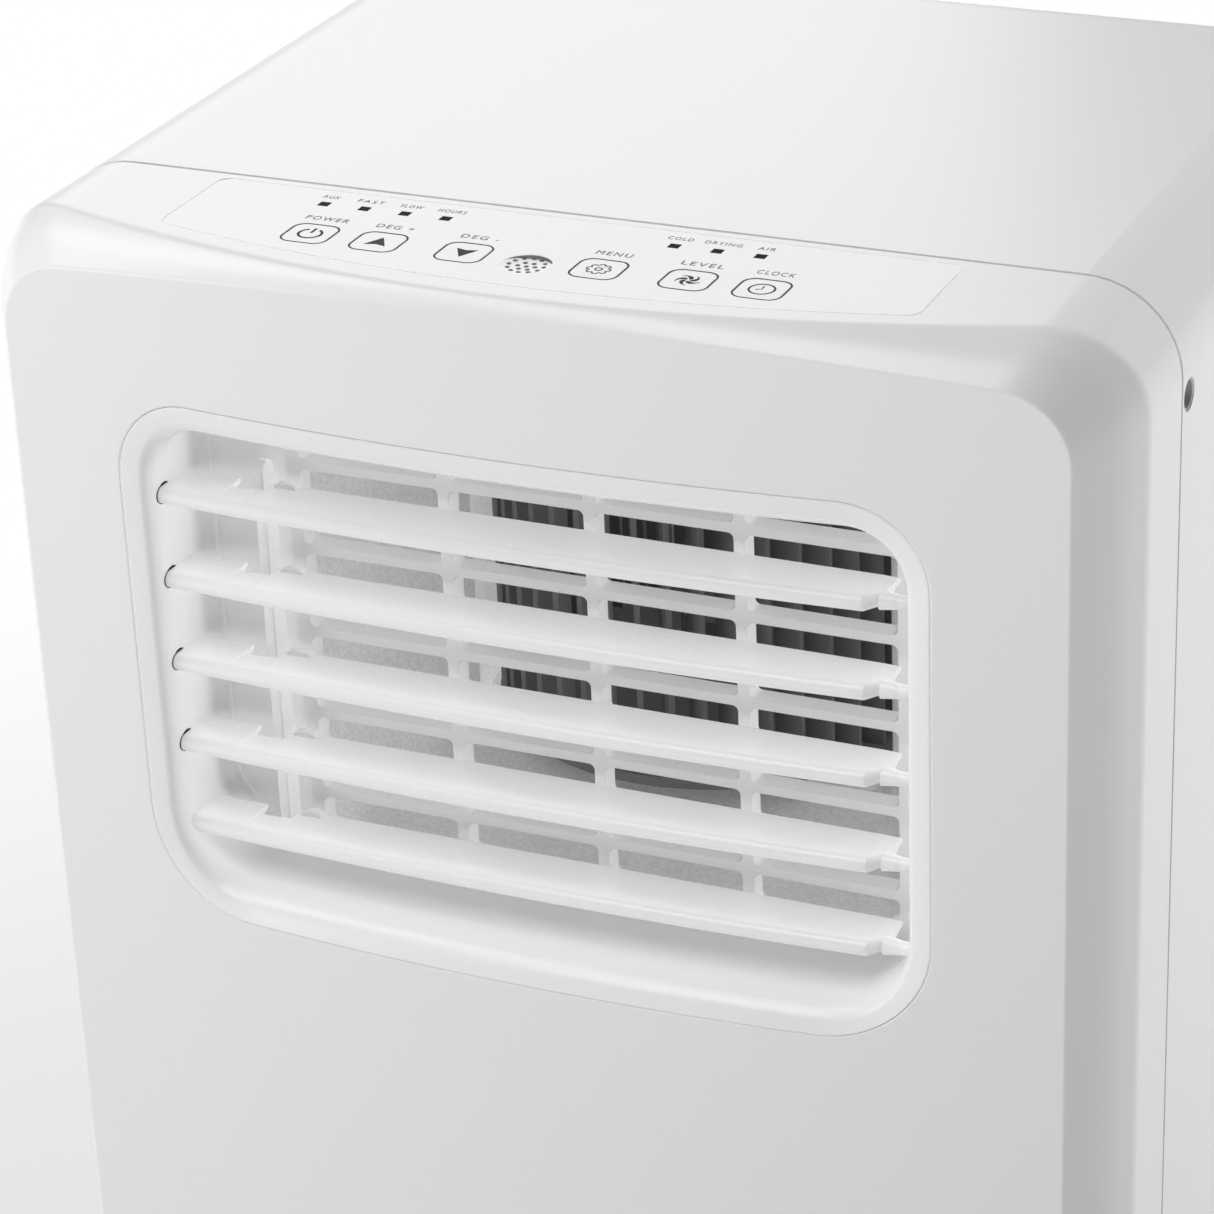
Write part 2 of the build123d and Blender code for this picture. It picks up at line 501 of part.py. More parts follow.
def make_compressor():
    foot_z = FLOOR_Z + FLOOR_T + 3
    base_z = foot_z + 10
    body = rod_z(COMP_X, COMP_Y, base_z + 3, 236, COMP_R)
    body = fillet(body.edges().filter_by(GeomType.CIRCLE), 22)
    body += rod_z(COMP_X, COMP_Y, 140, 146, COMP_R + 1.5)
    body += rod_z(COMP_X + 20, COMP_Y, 230, 248, 5)
    body += Pos(COMP_X - 14, COMP_Y + 16, 238) * Box(26, 22, 10)
    rubbers = []
    body += rod_z(COMP_X, COMP_Y, base_z, base_z + 6, 40)
    for x, y in compressor_feet():
        arm = Pos((x + COMP_X) / 2, (y + COMP_Y) / 2, base_z + 1.5)
        angle = math.degrees(math.atan2(y - COMP_Y, x - COMP_X))
        body += arm * Rot(0, 0, angle) * Box(COMP_FOOT_R, 20, 3)
        body += rod_z(x, y, base_z, base_z + 3, 10)
        body -= rod_z(x, y, base_z - 1, base_z + 4, 5)
        rubber = rod_z(x, y, foot_z, base_z, 9) + rod_z(x, y, base_z, base_z + 3, 5)
        rubbers.append(rubber + rod_z(x, y, base_z + 3, base_z + 6, 8))
    parts["compressor"] = body
    parts["compressor_mounts"] = Compound(rubbers)
    accumulator = fillet(rod_z(12, -62, 84, 210, 20).edges().filter_by(GeomType.CIRCLE), 14)
    parts["accumulator"] = accumulator


def pipe(points, bend, r=4.0):
    route = FilletPolyline(*points, radius=bend)
    start = Plane(origin=points[0], z_dir=route % 0)
    return sweep(start * Circle(r), path=route)


def make_pipes():
    discharge = pipe([(COMP_X + 20, COMP_Y, 249), (COMP_X + 20, COMP_Y, 275), (-100, 60, 275),
                      (-100, 104, 275), (-100, 104, 239)], 12)
    liquid = pipe([(115, 104, 220), (138, 104, 220), (138, 96, 300), (138, 96, 440), (115, 96, 440)], 11, 3.0)
    suction = pipe([(-115, 96, 450), (-138, 96, 450), (-138, 96, 292), (-138, -62, 292), (12, -62, 292),
                    (12, -62, 211)], 14)
    parts["refrigerant_pipes"] = Compound([discharge, liquid, suction])


def make_condenser_fan():
    hub = rod_y(0, FAN_Y - 10, FAN_Y + 10, EXHAUST_Z, 20)
    blades = 7
    for i in range(blades):
        blade = Pos(0, FAN_Y, EXHAUST_Z) * Rot(0, 360 * i / blades, 0)
        hub += blade * Pos(0, 0, 38) * Rot(0, 0, 35) * Box(26, 2, 42)
    hub -= rod_y(0, FAN_Y - 12, FAN_Y + 6, EXHAUST_Z, SHAFT_R + FIT)
    keep = rod_y(0, FAN_Y - 14, FAN_Y + 14, EXHAUST_Z, FAN_R)
    parts["condenser_fan"] = hub & keep


def make_condenser_shroud():
    """Plate and ring round the fan, with the duct that leads to the exhaust collar."""
    shroud = block(-88, 88, 84, 88, 246, TRAY_Z)
    shroud += rod_y(0, 84, COLLAR_Y - 2, EXHAUST_Z, SHROUD_R + 3)
    shroud -= rod_y(0, 80, COLLAR_Y, EXHAUST_Z, SHROUD_R)
    parts["condenser_shroud"] = shroud


def make_condenser_motor():
    motor = rod_y(0, 30, 76, EXHAUST_Z, 32)
    motor = fillet(motor.edges().filter_by(GeomType.CIRCLE), 4)
    motor += rod_y(0, 74, FAN_Y + 5, EXHAUST_Z, SHAFT_R)
    for i in range(4):
        a = math.radians(45 + 90 * i)
        x, z = 50 * math.cos(a), 50 * math.sin(a)
        motor += rod_y(x, 60, 84, EXHAUST_Z + z, 3)
        motor += Pos(x * 0.78, 62, EXHAUST_Z + z * 0.78) * Rot(0, -math.degrees(a), 0) * Box(30, 4, 6)
        motor += rod_y(x, 78, 84, EXHAUST_Z + z, 5)
    for i in range(4):
        a = math.radians(45 + 90 * i)
        foot = Pos(60 * math.cos(a), 82, EXHAUST_Z + 60 * math.sin(a)) * Rot(0, -math.degrees(a), 0)
        motor += foot * Box(24, 3.5, 6)
    parts["condenser_fan_motor"] = motor


def make_exhaust_collar():
    collar = rod_y(0, COLLAR_Y, Y_BACK, EXHAUST_Z, EXHAUST_R + 4)
    collar += rod_y(0, Y_BACK - 2.5, Y_BACK, EXHAUST_Z, EXHAUST_R + 9)
    collar -= rod_y(0, 120, Y_BACK + 1, EXHAUST_Z, EXHAUST_R)
    parts["exhaust_collar"] = collar


def make_electrics():
    box = block(66, 152, -62, 30, 250, 376) - block(68.5, 149.5, -59.5, 27.5, 252.5, 377)
    parts["electrical_box"] = box
    parts["electrical_box_lid"] = block(66, 152, -62, 30, 376, 378.5)
    capacitor = rod_z(92, -20, 254, 340, 20)
    for dx in (-6, 6):
        capacitor += Pos(92 + dx, -20, 343) * Box(1, 6, 6)
    parts["run_capacitor"] = capacitor
    gland = rod_y(-130, Y_BACK - 12, Y_BACK, 262, 8.0) + rod_y(-130, Y_BACK - 6, Y_BACK - WALL, 262, 11)
    parts["cord_gland"] = gland - rod_y(-130, Y_BACK - 13, Y_BACK + 1, 262, 3.6)
    pan_top = FLOOR_Z + FLOOR_T
    stem = rod_z(40, 70, pan_top, 96, 3) + rod_z(40, 70, pan_top, pan_top + 4, 8)
    parts["level_switch_stem"] = stem
    parts["level_switch_float"] = rod_z(40, 70, 60, 78, 11) - rod_z(40, 70, 59, 79, 3 + 0.08)


# ---------------------------------------------------------------- rear panels and grips
def slatted_panel(half, z0, z1, y0, frame, pitch):
    panel = block(-half, half, y0, Y_BACK, z0, z1) - block(-half + frame, half - frame, y0 - 1, Y_BACK + 1,
                                                          z0 + frame, z1 - frame)
    count = int((z1 - z0 - 2 * frame) / pitch)
    for i in range(count):
        z = z0 + frame + (i + 0.5) * (z1 - z0 - 2 * frame) / count
        panel += Pos(0, Y_BACK - 5.0, z) * Rot(-30, 0, 0) * Box(2 * half - 2 * frame + 1, 7, 1.8)
    for x in (-half / 3, half / 3):
        panel += block(x - 1.5, x + 1.5, Y_BACK - 8, Y_BACK - 1.5, z0 + 1, z1 - 1)
    return panel


def make_rear_panels():
    half, z0, z1 = FILTER_HALF + 2 - PANEL_GAP, FILTER_Z0 - 2 + PANEL_GAP, FILTER_Z1 + 2 - PANEL_GAP
    grille = slatted_panel(half, z0, z1, Y_BACK - 12, 9, 10.5)
    grille -= Pos(0, Y_BACK, z1 - 4.5) * Box(50, 8, 5)
    parts["intake_grille"] = grille
    mesh = block(-half + 3, half - 3, Y_BACK - 16, Y_BACK - 12, z0 + 3, z1 - 3)
    cells_x, cells_z, rib = 4, 3, 3.0
    cell_w = (2 * half - 6 - rib) / cells_x
    cell_h = (z1 - z0 - 6 - rib) / cells_z
    for i in range(cells_x):
        for j in range(cells_z):
            x = -half + 3 + rib + i * cell_w
            z = z0 + 3 + rib + j * cell_h
            mesh -= block(x, x + cell_w - rib, Y_BACK - 20, Y_BACK - 14.2, z, z + cell_h - rib)
            mesh -= block(x, x + cell_w - rib, Y_BACK - 13.8, Y_BACK - 10, z, z + cell_h - rib)
    parts["air_filter"] = mesh
    parts["lower_grille"] = slatted_panel(LOWER_HALF, LOWER_Z0, LOWER_Z1, Y_BACK - 9, 7, 9.5)


def grip_block(side, start, depth, inset):
    """Rounded block that runs inwards from a side wall, from a start depth to an end depth."""
    outline = RectangleRounded(GRIP_L - 2 * inset, GRIP_H - 2 * inset, GRIP_CORNER_R - inset)
    plane = Plane(origin=(side * (HALF_W - start), GRIP_Y, GRIP_Z), x_dir=(0, 1, 0), z_dir=(-side, 0, 0))
    return extrude(plane * outline, amount=depth - start)


def make_grips():
    for side, name in ((-1, "grip_left"), (1, "grip_right")):
        cup = grip_block(side, 0, GRIP_DEPTH, 0)
        parts[name] = cup - grip_block(side, -1, GRIP_DEPTH - GRIP_WALL, GRIP_WALL)


# ---------------------------------------------------------------- casters
def caster_places():
    return [(sx * CASTER_X, y) for y in (CASTER_FRONT_Y, CASTER_BACK_Y) for sx in (-1, 1)]


def make_casters():
    for n, (x, y) in enumerate(caster_places(), start=1):
        axle_y = y + TRAIL
        top = FLOOR_Z - 1.0
        fork = rod_z(x, y, top - 4, top, 13) + rod_z(x, y, top, FLOOR_Z + 8.5, 5.0)
        for side in (-1, 1):
            a = x + side * (WHEEL_W / 2 + 0.6)
            b = a + side * 2.4
            x0, x1 = sorted((a, b))
            fork += block(x0, x1, y - 6, axle_y + 5, WHEEL_R + 4, top)
            fork += block(x0, x1, axle_y - 6, axle_y + 5, WHEEL_R - 2, WHEEL_R + 5)
            fork += rod_x(x0, x1, axle_y, WHEEL_R, 5.5)
        fork += rod_x(x - WHEEL_W / 2 - 2.6, x + WHEEL_W / 2 + 2.6, axle_y, WHEEL_R, 2.5)
        wheel = rod_x(x - WHEEL_W / 2, x + WHEEL_W / 2, axle_y, WHEEL_R, WHEEL_R)
        wheel = fillet(wheel.edges().filter_by(GeomType.CIRCLE), 2.5)
        wheel -= rod_x(x - 20, x + 20, axle_y, WHEEL_R, 2.5 + FIT)
        parts[f"caster_fork_{n}"] = fork
        parts[f"caster_wheel_{n}"] = wheel


# ---------------------------------------------------------------- build
def main():
    make_front_cover()
    make_rear_casing()
    make_screws()
    make_side_screw_seats()
    make_base_pan()
    make_outlet_frame()
    make_outlet_grille()
    make_louvres()
    make_link_bar()
    make_control_panel()
    make_receiver()
    make_keys()
    make_control_board()
    make_blower_scroll()
    make_blower_wheel()
    make_blower_motor()
    make_coils()
    make_drip_tray()
    make_drain_spouts()
    make_compressor()
    make_pipes()
    make_condenser_fan()
    make_condenser_shroud()
    make_condenser_motor()
    make_exhaust_collar()
    make_electrics()
    make_rear_panels()
    make_grips()
    make_casters()
    os.makedirs("parts", exist_ok=True)
    for name, shape in parts.items():
        export_step(shape, f"parts/{name}.step")


main()
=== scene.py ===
import json
import math
import bmesh
import bpy
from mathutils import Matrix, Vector


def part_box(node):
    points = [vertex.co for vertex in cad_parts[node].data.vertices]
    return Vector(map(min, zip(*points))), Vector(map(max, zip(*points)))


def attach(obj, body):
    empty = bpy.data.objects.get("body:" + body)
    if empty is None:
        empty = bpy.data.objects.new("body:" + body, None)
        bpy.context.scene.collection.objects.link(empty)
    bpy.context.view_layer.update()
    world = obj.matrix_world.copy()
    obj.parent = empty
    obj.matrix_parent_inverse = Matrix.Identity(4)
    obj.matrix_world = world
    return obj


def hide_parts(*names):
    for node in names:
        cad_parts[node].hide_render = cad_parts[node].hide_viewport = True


# Portable air conditioner. Shapes are worked out in millimetres and made in metres, in the CAD frame:
# X to the right, Y to the back, Z up, floor at Z = 0.
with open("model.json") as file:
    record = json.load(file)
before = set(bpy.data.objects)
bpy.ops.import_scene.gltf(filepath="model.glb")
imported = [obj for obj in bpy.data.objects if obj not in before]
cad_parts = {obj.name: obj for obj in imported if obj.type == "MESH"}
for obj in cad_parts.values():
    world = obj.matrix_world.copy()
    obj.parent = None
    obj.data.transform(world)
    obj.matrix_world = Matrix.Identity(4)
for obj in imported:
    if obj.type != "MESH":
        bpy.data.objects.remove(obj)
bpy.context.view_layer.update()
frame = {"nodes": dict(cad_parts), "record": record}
MM = 0.001


def box_mm(node):
    low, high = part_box(node)
    return low / MM, high / MM


# ---------------------------------------------------------------- sizes, from the CAD nodes
COVER_LOW, COVER_HIGH = box_mm("front_cover")
HALF_W, TOP, BOTTOM = COVER_HIGH.x, COVER_HIGH.z, COVER_LOW.z
Y_FRONT, Y_SEAM = COVER_LOW.y, COVER_HIGH.y
FRAME_LOW, FRAME_HIGH = box_mm("outlet_frame")
GRILLE_LOW, GRILLE_HIGH = box_mm("outlet_grille")
PANEL_LOW, PANEL_HIGH = box_mm("control_overlay")

LONG_EDGE_R = 26.0                       # rounding of the long top edges
RIM_APEX, RIM_R = Y_FRONT + 3.5, 401.0   # arc of the cover's front edge, seen from above
PAD_R, PAD_HALF = 900.0, 151.5           # the bowed pad and its half width
PAD_TOP, PAD_CROWN_R, PAD_CORNER_R = TOP - 5.0, 1350.0, 20.0
SEAM_GAP, SEAM_TUCK = 0.95, 2.4          # width of the seam, and depth of the cover's lip inside it
COVER_T, SURROUND_T = 1.5, 1.2           # walls of the cover and of the outlet surround
OPENING_GAP = 0.6                        # between the outlet frame and the edge of its opening

LOUVRES = 5
HINGE_Y, HINGE_Z = -121.5, 603.3
LOUVRE_PITCH = 25.6


# ---------------------------------------------------------------- mesh helpers
class Skin:
    """Points and faces in millimetres; points that coincide are shared."""

    def __init__(self):
        self.points, self.faces, self.index = [], [], {}

    def point(self, p):
        key = tuple(round(c, 3) for c in p)
        if key not in self.index:
            self.index[key] = len(self.points)
            self.points.append(tuple(p))
        return self.index[key]

    def face(self, *points):
        ids = []
        for p in points:
            i = self.point(p)
            if i not in ids:
                ids.append(i)
        if len(ids) > 2:
            self.faces.append(ids)

    def grid(self, rows, closed=False):
        """Quads between neighbouring rows of points."""
        for upper, lower in zip(rows, rows[1:]):
            count = len(upper)
            for i in range(count if closed else count - 1):
                j = (i + 1) % count
                self.face(upper[i], upper[j], lower[j], lower[i])

    def prism(self, loop, offset):
        """Closed solid between a loop and the same loop moved by the offset."""
        moved = [tuple(a + b for a, b in zip(p, offset)) for p in loop]
        self.grid([loop, moved], closed=True)
        self.face(*reversed(loop))
        self.face(*moved)


def spread(start, end, steps):
    return [start + (end - start) * i / steps for i in range(steps + 1)]


def mix(a, b, t):
    return a + (b - a) * t


def ease(t):
    return t * t * (3 - 2 * t)


def on_arc(cx, cz, radius, turn):
    """Place on a circle; the turn starts straight up and goes to the right."""
    return cx + radius * math.sin(turn), cz + radius * math.cos(turn)


def rounded_path(corners, setbacks, steps):
    """Points along a polyline whose inner corners are rounded, each with its own setback."""
    path = [Vector(corners[0])]
    for before, corner, after, setback in zip(corners, corners[1:], corners[2:], setbacks):
        corner = Vector(corner)
        back, ahead = Vector(before) - corner, Vector(after) - corner
        start = corner + back.normalized() * min(setback, back.length * 0.48)
        end = corner + ahead.normalized() * min(setback, ahead.length * 0.48)
        for i in range(steps + 1):
            t = i / steps
            path.append(start * (1 - t) ** 2 + corner * (2 * t * (1 - t)) + end * t * t)
    path.append(Vector(corners[-1]))
    return path


def finish_mesh(mesh, sharp_deg):
    """Faces point outwards, curved faces are smooth, and edges above the angle stay sharp."""
    bm = bmesh.new()
    bm.from_mesh(mesh)
    bmesh.ops.remove_doubles(bm, verts=bm.verts, dist=1e-6)
    bmesh.ops.recalc_face_normals(bm, faces=bm.faces)
    for face in bm.faces:
        face.smooth = True
    limit = math.radians(sharp_deg)
    for edge in bm.edges:
        edge.smooth = len(edge.link_faces) == 2 and edge.calc_face_angle(0) < limit
    bm.to_mesh(mesh)
    bm.free()
    mesh.update()


def add_piece(name, skin, body, material, replaces=(), sharp_deg=40, thickness=0.0):
    mesh = bpy.data.meshes.new(name)
    mesh.from_pydata([[c * MM for c in p] for p in skin.points], [], skin.faces)
    finish_mesh(mesh, sharp_deg)
    mesh.materials.append(material)
    piece = bpy.data.objects.new(name, mesh)
    bpy.context.scene.collection.objects.link(piece)
    if thickness:
        solid = piece.modifiers.new("wall", "SOLIDIFY")
        solid.thickness, solid.offset = thickness * MM, -1
        solid.use_even_offset = False
    normals = piece.modifiers.new("normals", "WEIGHTED_NORMAL")
    normals.keep_sharp = True
    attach(piece, body)
    if replaces:
        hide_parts(*replaces)
    return piece


# ---------------------------------------------------------------- materials
def node_material(name):
    material = bpy.data.materials.new(name)
    material.use_nodes = True
    tree = material.node_tree
    shader = tree.nodes["Principled BSDF"]
    place = tree.nodes.new("ShaderNodeTexCoord")
    return material, tree, shader, place.outputs["Object"]


def noise(tree, place, scale, detail=3.0):
    node = tree.nodes.new("ShaderNodeTexNoise")
    node.inputs["Scale"].default_value = scale
    node.inputs["Detail"].default_value = detail
    tree.links.new(place, node.inputs["Vector"])
    return node.outputs["Fac"]


def remap(tree, value, low, high):
    """Ease a noise value, which is seldom below 0.15 or above 0.85, to the range from low to high."""
    node = tree.nodes.new("ShaderNodeMapRange")
    node.interpolation_type = "SMOOTHSTEP"
    node.inputs["From Min"].default_value = 0.15
    node.inputs["From Max"].default_value = 0.85
    node.inputs["To Min"].default_value = low
    node.inputs["To Max"].default_value = high
    tree.links.new(value, node.inputs["Value"])
    return node.outputs["Result"]


def tint(tree, factor, dark, light):
    node = tree.nodes.new("ShaderNodeMix")
    node.data_type = "RGBA"
    tree.links.new(factor, node.inputs["Factor"])
    node.inputs["A"].default_value = (*dark, 1)
    node.inputs["B"].default_value = (*light, 1)
    return node.outputs["Result"]


def bump(tree, shader, height, strength, distance_mm):
    node = tree.nodes.new("ShaderNodeBump")
    node.inputs["Strength"].default_value = strength
    node.inputs["Distance"].default_value = distance_mm * MM
    tree.links.new(height, node.inputs["Height"])
    tree.links.new(node.outputs["Normal"], shader.inputs["Normal"])


def plastic(name, colour, roughness, grain_mm=0.6, grain=0.05, shine=0.5, cloud=0.01):
    """Moulded plastic: a fine grain, slightly uneven gloss and a faint cloud in the colour."""
    material, tree, shader, place = node_material(name)
    fine = noise(tree, place, 1 / (grain_mm * MM))
    wide = noise(tree, place, 14.0)
    darker = tuple(c * (1 - cloud) for c in colour)
    tree.links.new(tint(tree, wide, darker, colour), shader.inputs["Base Color"])
    tree.links.new(remap(tree, fine, roughness * 0.92, roughness * 1.08), shader.inputs["Roughness"])
    bump(tree, shader, fine, grain, 0.05)
    shader.inputs["Specular IOR Level"].default_value = shine
    return material


def metal(name, colour, roughness, streak_mm=0.4):
    material, tree, shader, place = node_material(name)
    fine = noise(tree, place, 1 / (streak_mm * MM))
    darker = tuple(c * 0.85 for c in colour)
    tree.links.new(tint(tree, fine, darker, colour), shader.inputs["Base Color"])
    tree.links.new(remap(tree, fine, roughness * 0.8, roughness * 1.2), shader.inputs["Roughness"])
    shader.inputs["Metallic"].default_value = 1.0
    bump(tree, shader, fine, 0.1, 0.02)
    return material


def bead_foam(name, colour, cell_mm=1.4):
    """Moulded bead foam: small rounded cells with slightly darker lines between them."""
    material, tree, shader, place = node_material(name)
    cells = tree.nodes.new("ShaderNodeTexVoronoi")
    cells.inputs["Scale"].default_value = 1 / (cell_mm * MM)
    tree.links.new(place, cells.inputs["Vector"])
    edge = remap(tree, cells.outputs["Distance"], 1.0, 0.0)
    darker = tuple(c * 0.9 for c in colour)
    tree.links.new(tint(tree, edge, darker, colour), shader.inputs["Base Color"])
    shader.inputs["Roughness"].default_value = 0.85
    bump(tree, shader, edge, 0.3, 0.2)
    return material


WHITE = (0.87, 0.87, 0.87)
casing_white = plastic("casing_white", WHITE, 0.30, 0.7, 0.04)
# a little lighter than the casing white: a painted lift against the shade inside the outlet's recess
outlet_white = plastic("outlet_white", (0.93, 0.93, 0.93), 0.26, 0.7, 0.03)
panel_gloss = plastic("panel_gloss", (0.84, 0.84, 0.84), 0.2, 2.0, 0.02)
trim_white = plastic("trim_white", (0.90, 0.90, 0.90), 0.34)
inner_plastic = plastic("inner_plastic", (0.45, 0.45, 0.45), 0.5)
foam_grey = bead_foam("foam_grey", (0.93, 0.93, 0.93))
wheel_dark = plastic("wheel_dark", (0.14, 0.14, 0.145), 0.4, 0.5, 0.1)
led_window = plastic("led_window", (0.004, 0.004, 0.004), 0.5, shine=0.05)
print_grey = plastic("print_grey", (0.07, 0.07, 0.07), 0.7, shine=0.1)
# pale print for the words, and painted shade on the receiver's dish
pale_print_and_shade = plastic("pale_print_and_shade", (0.16, 0.16, 0.16), 0.7, shine=0.1)
# painted shade for the dark gaps at the seam and round the louvre pivots
painted_gap_shade = plastic("painted_gap_shade", (0.03, 0.03, 0.03), 0.8, shine=0.1)
board_green = plastic("board_green", (0.02, 0.13, 0.05), 0.35, 0.5, 0.2)
rubber_black = plastic("rubber_black", (0.02, 0.02, 0.02), 0.75, 0.4, 0.3)
compressor_black = plastic("compressor_black", (0.015, 0.015, 0.017), 0.38, 0.8, 0.3)
caster_grey = plastic("caster_grey", (0.24, 0.24, 0.25), 0.42)
caster_tyre = plastic("caster_tyre", (0.05, 0.05, 0.05), 0.6, 0.4, 0.3)
filter_mesh = plastic("filter_mesh", (0.10, 0.10, 0.11), 0.6, 0.4, 0.4)
motor_steel = metal("motor_steel", (0.45, 0.45, 0.46), 0.42)
coil_fins = metal("coil_fins", (0.72, 0.73, 0.75), 0.35)
pipe_copper = metal("pipe_copper", (0.72, 0.36, 0.20), 0.3)
capacitor_can = metal("capacitor_can", (0.65, 0.65, 0.66), 0.3)
screw_steel = metal("screw_steel", (0.50, 0.50, 0.50), 0.3)

SLOT_MATERIALS = {
    "casing_white": casing_white, "panel_gloss": panel_gloss, "outlet_white": outlet_white,
    "trim_white": trim_white, "foam_grey": foam_grey, "wheel_dark": wheel_dark, "led_window": led_window,
    "board": board_green, "coil_fins": coil_fins, "inner_plastic": inner_plastic,
    "motor_steel": motor_steel, "compressor_black": compressor_black, "pipe_copper": pipe_copper,
    "capacitor_can": capacitor_can, "rubber_black": rubber_black, "screw_steel": screw_steel,
    "filter_mesh": filter_mesh, "caster_grey": caster_grey, "caster_tyre": caster_tyre,
}


def dress_cad_nodes():
    """Give every CAD node the material of its own slot."""
    slot_of = {subpart["node"]: subpart["material_slot"] for subpart in frame["record"]["subparts"]}
    for name, node in frame["nodes"].items():
        material = SLOT_MATERIALS[slot_of[name]]
        node.data.materials.clear()
        node.data.materials.append(material)


# ---------------------------------------------------------------- front cover
def pad_y(x):
    return Y_FRONT + x * x / (2 * PAD_R)


def rim_y(x):
    return RIM_APEX + x * x / (2 * RIM_R)


WINDOW = {"half": FRAME_HIGH.x, "bottom": FRAME_LOW.z, "top": FRAME_HIGH.z, "r_top": 24.0, "r_bottom": 32.0}
CROWN_SLOPE = (PAD_HALF - PAD_CORNER_R) / PAD_CROWN_R
CORNER_START = math.asin(CROWN_SLOPE)
CROWN_END = PAD_HALF - PAD_CORNER_R + PAD_CORNER_R * math.sin(CORNER_START)
CORNER_Z = PAD_TOP - CROWN_END ** 2 / (2 * PAD_CROWN_R) - PAD_CORNER_R * math.cos(CORNER_START)
CORNER_STEPS = 12
SIDE_ROWS = (4, 8, 16)                   # rows beside the pad: above, along and below the outlet
SEAM_ROUND, RIM_ROUND, BEVEL_ROUND, LIP_ROUND = 0.5, 2.0, 9.0, 1.2
PAD_LIP = 1.0                            # width of the rounded edge round the pad
BEVEL_BULGE, BEVEL_FULL = 2.2, 28.0      # rise in the middle of the bevel, full from this width on
ROUND_STEPS = 5
RIM_START = ROUND_STEPS + 2              # place in a section where the seam's edge ends and the rim begins


def window_limits(x, grow):
    """Lower and upper edge of the outlet opening at a place across, grown by a little."""
    x = min(abs(x), WINDOW["half"] + grow)
    edges = []
    for key, sign in (("bottom", -1), ("top", 1)):
        radius = WINDOW["r_" + key] + grow
        z = WINDOW[key] + sign * grow
        past = x - (WINDOW["half"] + grow - radius)
        if past > 0:
            z -= sign * (radius - math.sqrt(max(radius ** 2 - past ** 2, 0)))
        edges.append(z)
    return edges


def pad_columns(grow):
    """Places across the right half of the pad where the columns of its mesh stand."""
    half = WINDOW["half"] + grow
    radius = WINDOW["r_bottom"] + grow
    flat = spread(0, half - radius, 12)[:-1]
    corner = [half - radius + radius * math.sin(math.radians(a)) for a in spread(0, 90, CORNER_STEPS)]
    outer = spread(half, CROWN_END, 4)[1:]
    return flat + corner + outer


def cover_stations(grow):
    """Matching places on the rim and on the pad's edge, from the top centre down the right side."""
    stations = []
    for x in pad_columns(grow):
        pad = (x, PAD_TOP - x * x / (2 * PAD_CROWN_R))
        rim = (x * (HALF_W - LONG_EDGE_R) / CROWN_END, TOP)
        slope = x / PAD_CROWN_R
        stations.append((rim, (0, 1), pad, (slope, 1)))
    for i in range(1, CORNER_STEPS + 1):
        a = mix(CORNER_START, math.pi / 2, i / CORNER_STEPS)
        b = i / CORNER_STEPS * math.pi / 2
        pad = on_arc(PAD_HALF - PAD_CORNER_R, CORNER_Z, PAD_CORNER_R, a)
        rim = on_arc(HALF_W - LONG_EDGE_R, TOP - LONG_EDGE_R, LONG_EDGE_R, b)
        stations.append((rim, (math.sin(b), math.cos(b)), pad, (math.sin(a), math.cos(a))))
    low, high = window_limits(WINDOW["half"] + grow, grow)
    levels = [CORNER_Z, high, low, BOTTOM]
    for zone, rows in enumerate(SIDE_ROWS):
        for z in spread(levels[zone], levels[zone + 1], rows)[1:]:
            above = max(z - high, 0) / (CORNER_Z - high)
            rim_z = z + above * (TOP - LONG_EDGE_R - CORNER_Z)
            stations.append(((HALF_W, rim_z), (1, 0), (PAD_HALF, z), (1, 0)))
    return stations


def cover_section(station):
    """One section of the cover, from the seam over the wall, the rim and the bevel to the pad's edge."""
    (rx, rz), (nx, nz), (px, pz), normal = station
    ox, oz = Vector(normal).normalized()
    wall = Vector((rx, Y_SEAM - SEAM_GAP, rz))
    tucked = wall - Vector((nx, 0, nz)) * SEAM_TUCK
    rim = Vector((rx, rim_y(rx), rz))
    lip = Vector((px + ox * PAD_LIP, pad_y(px + ox * PAD_LIP), pz + oz * PAD_LIP))
    pad = Vector((px, pad_y(px), pz))
    across = lip - rim
    outward = Vector((nx, 0, nz)) * -across.y + Vector((0, -1, 0)) * math.hypot(across.x, across.z)
    middle = (rim + lip) / 2 + outward.normalized() * BEVEL_BULGE * min(1, across.length / BEVEL_FULL)
    setbacks = [SEAM_ROUND, RIM_ROUND, BEVEL_ROUND, LIP_ROUND]
    return rounded_path([tucked, wall, rim, middle, lip, pad], setbacks, ROUND_STEPS)


def mirrored(points):
    return [(-p[0], p[1], p[2]) for p in points]


def make_front_cover():
    """Shell with its rim, bevel and bowed pad, the opening for the outlet and the pocket for the panel."""
    skin = Skin()
    sections = [[tuple(p) for p in cover_section(s)] for s in cover_stations(OPENING_GAP)]
    top_count = len(pad_columns(OPENING_GAP))
    for side in (list, mirrored):
        rows = [side(section) for section in sections]
        top = rows[:top_count]
        skin.grid([row[:RIM_START] for row in top])
        skin.grid([row[RIM_START:] for row in top])
        skin.grid(rows[top_count - 1:])
        flat = [row[RIM_START] for row in top] + [row[RIM_START - 1] for row in reversed(top)]
        skin.face(*flat, *side(panel_half(POCKET_GAP, TOP)))
    floor_z = TOP - POCKET_DEPTH
    pocket = ((POCKET_GAP, TOP), (POCKET_GAP, floor_z), (-POCKET_LEDGE, floor_z))
    skin.grid([panel_loop(grow, z) for grow, z in pocket], closed=True)
    make_pad(skin, OPENING_GAP)
    add_piece("cover_shell", skin, "housing", casing_white, ["front_cover"],
              sharp_deg=50, thickness=COVER_T)


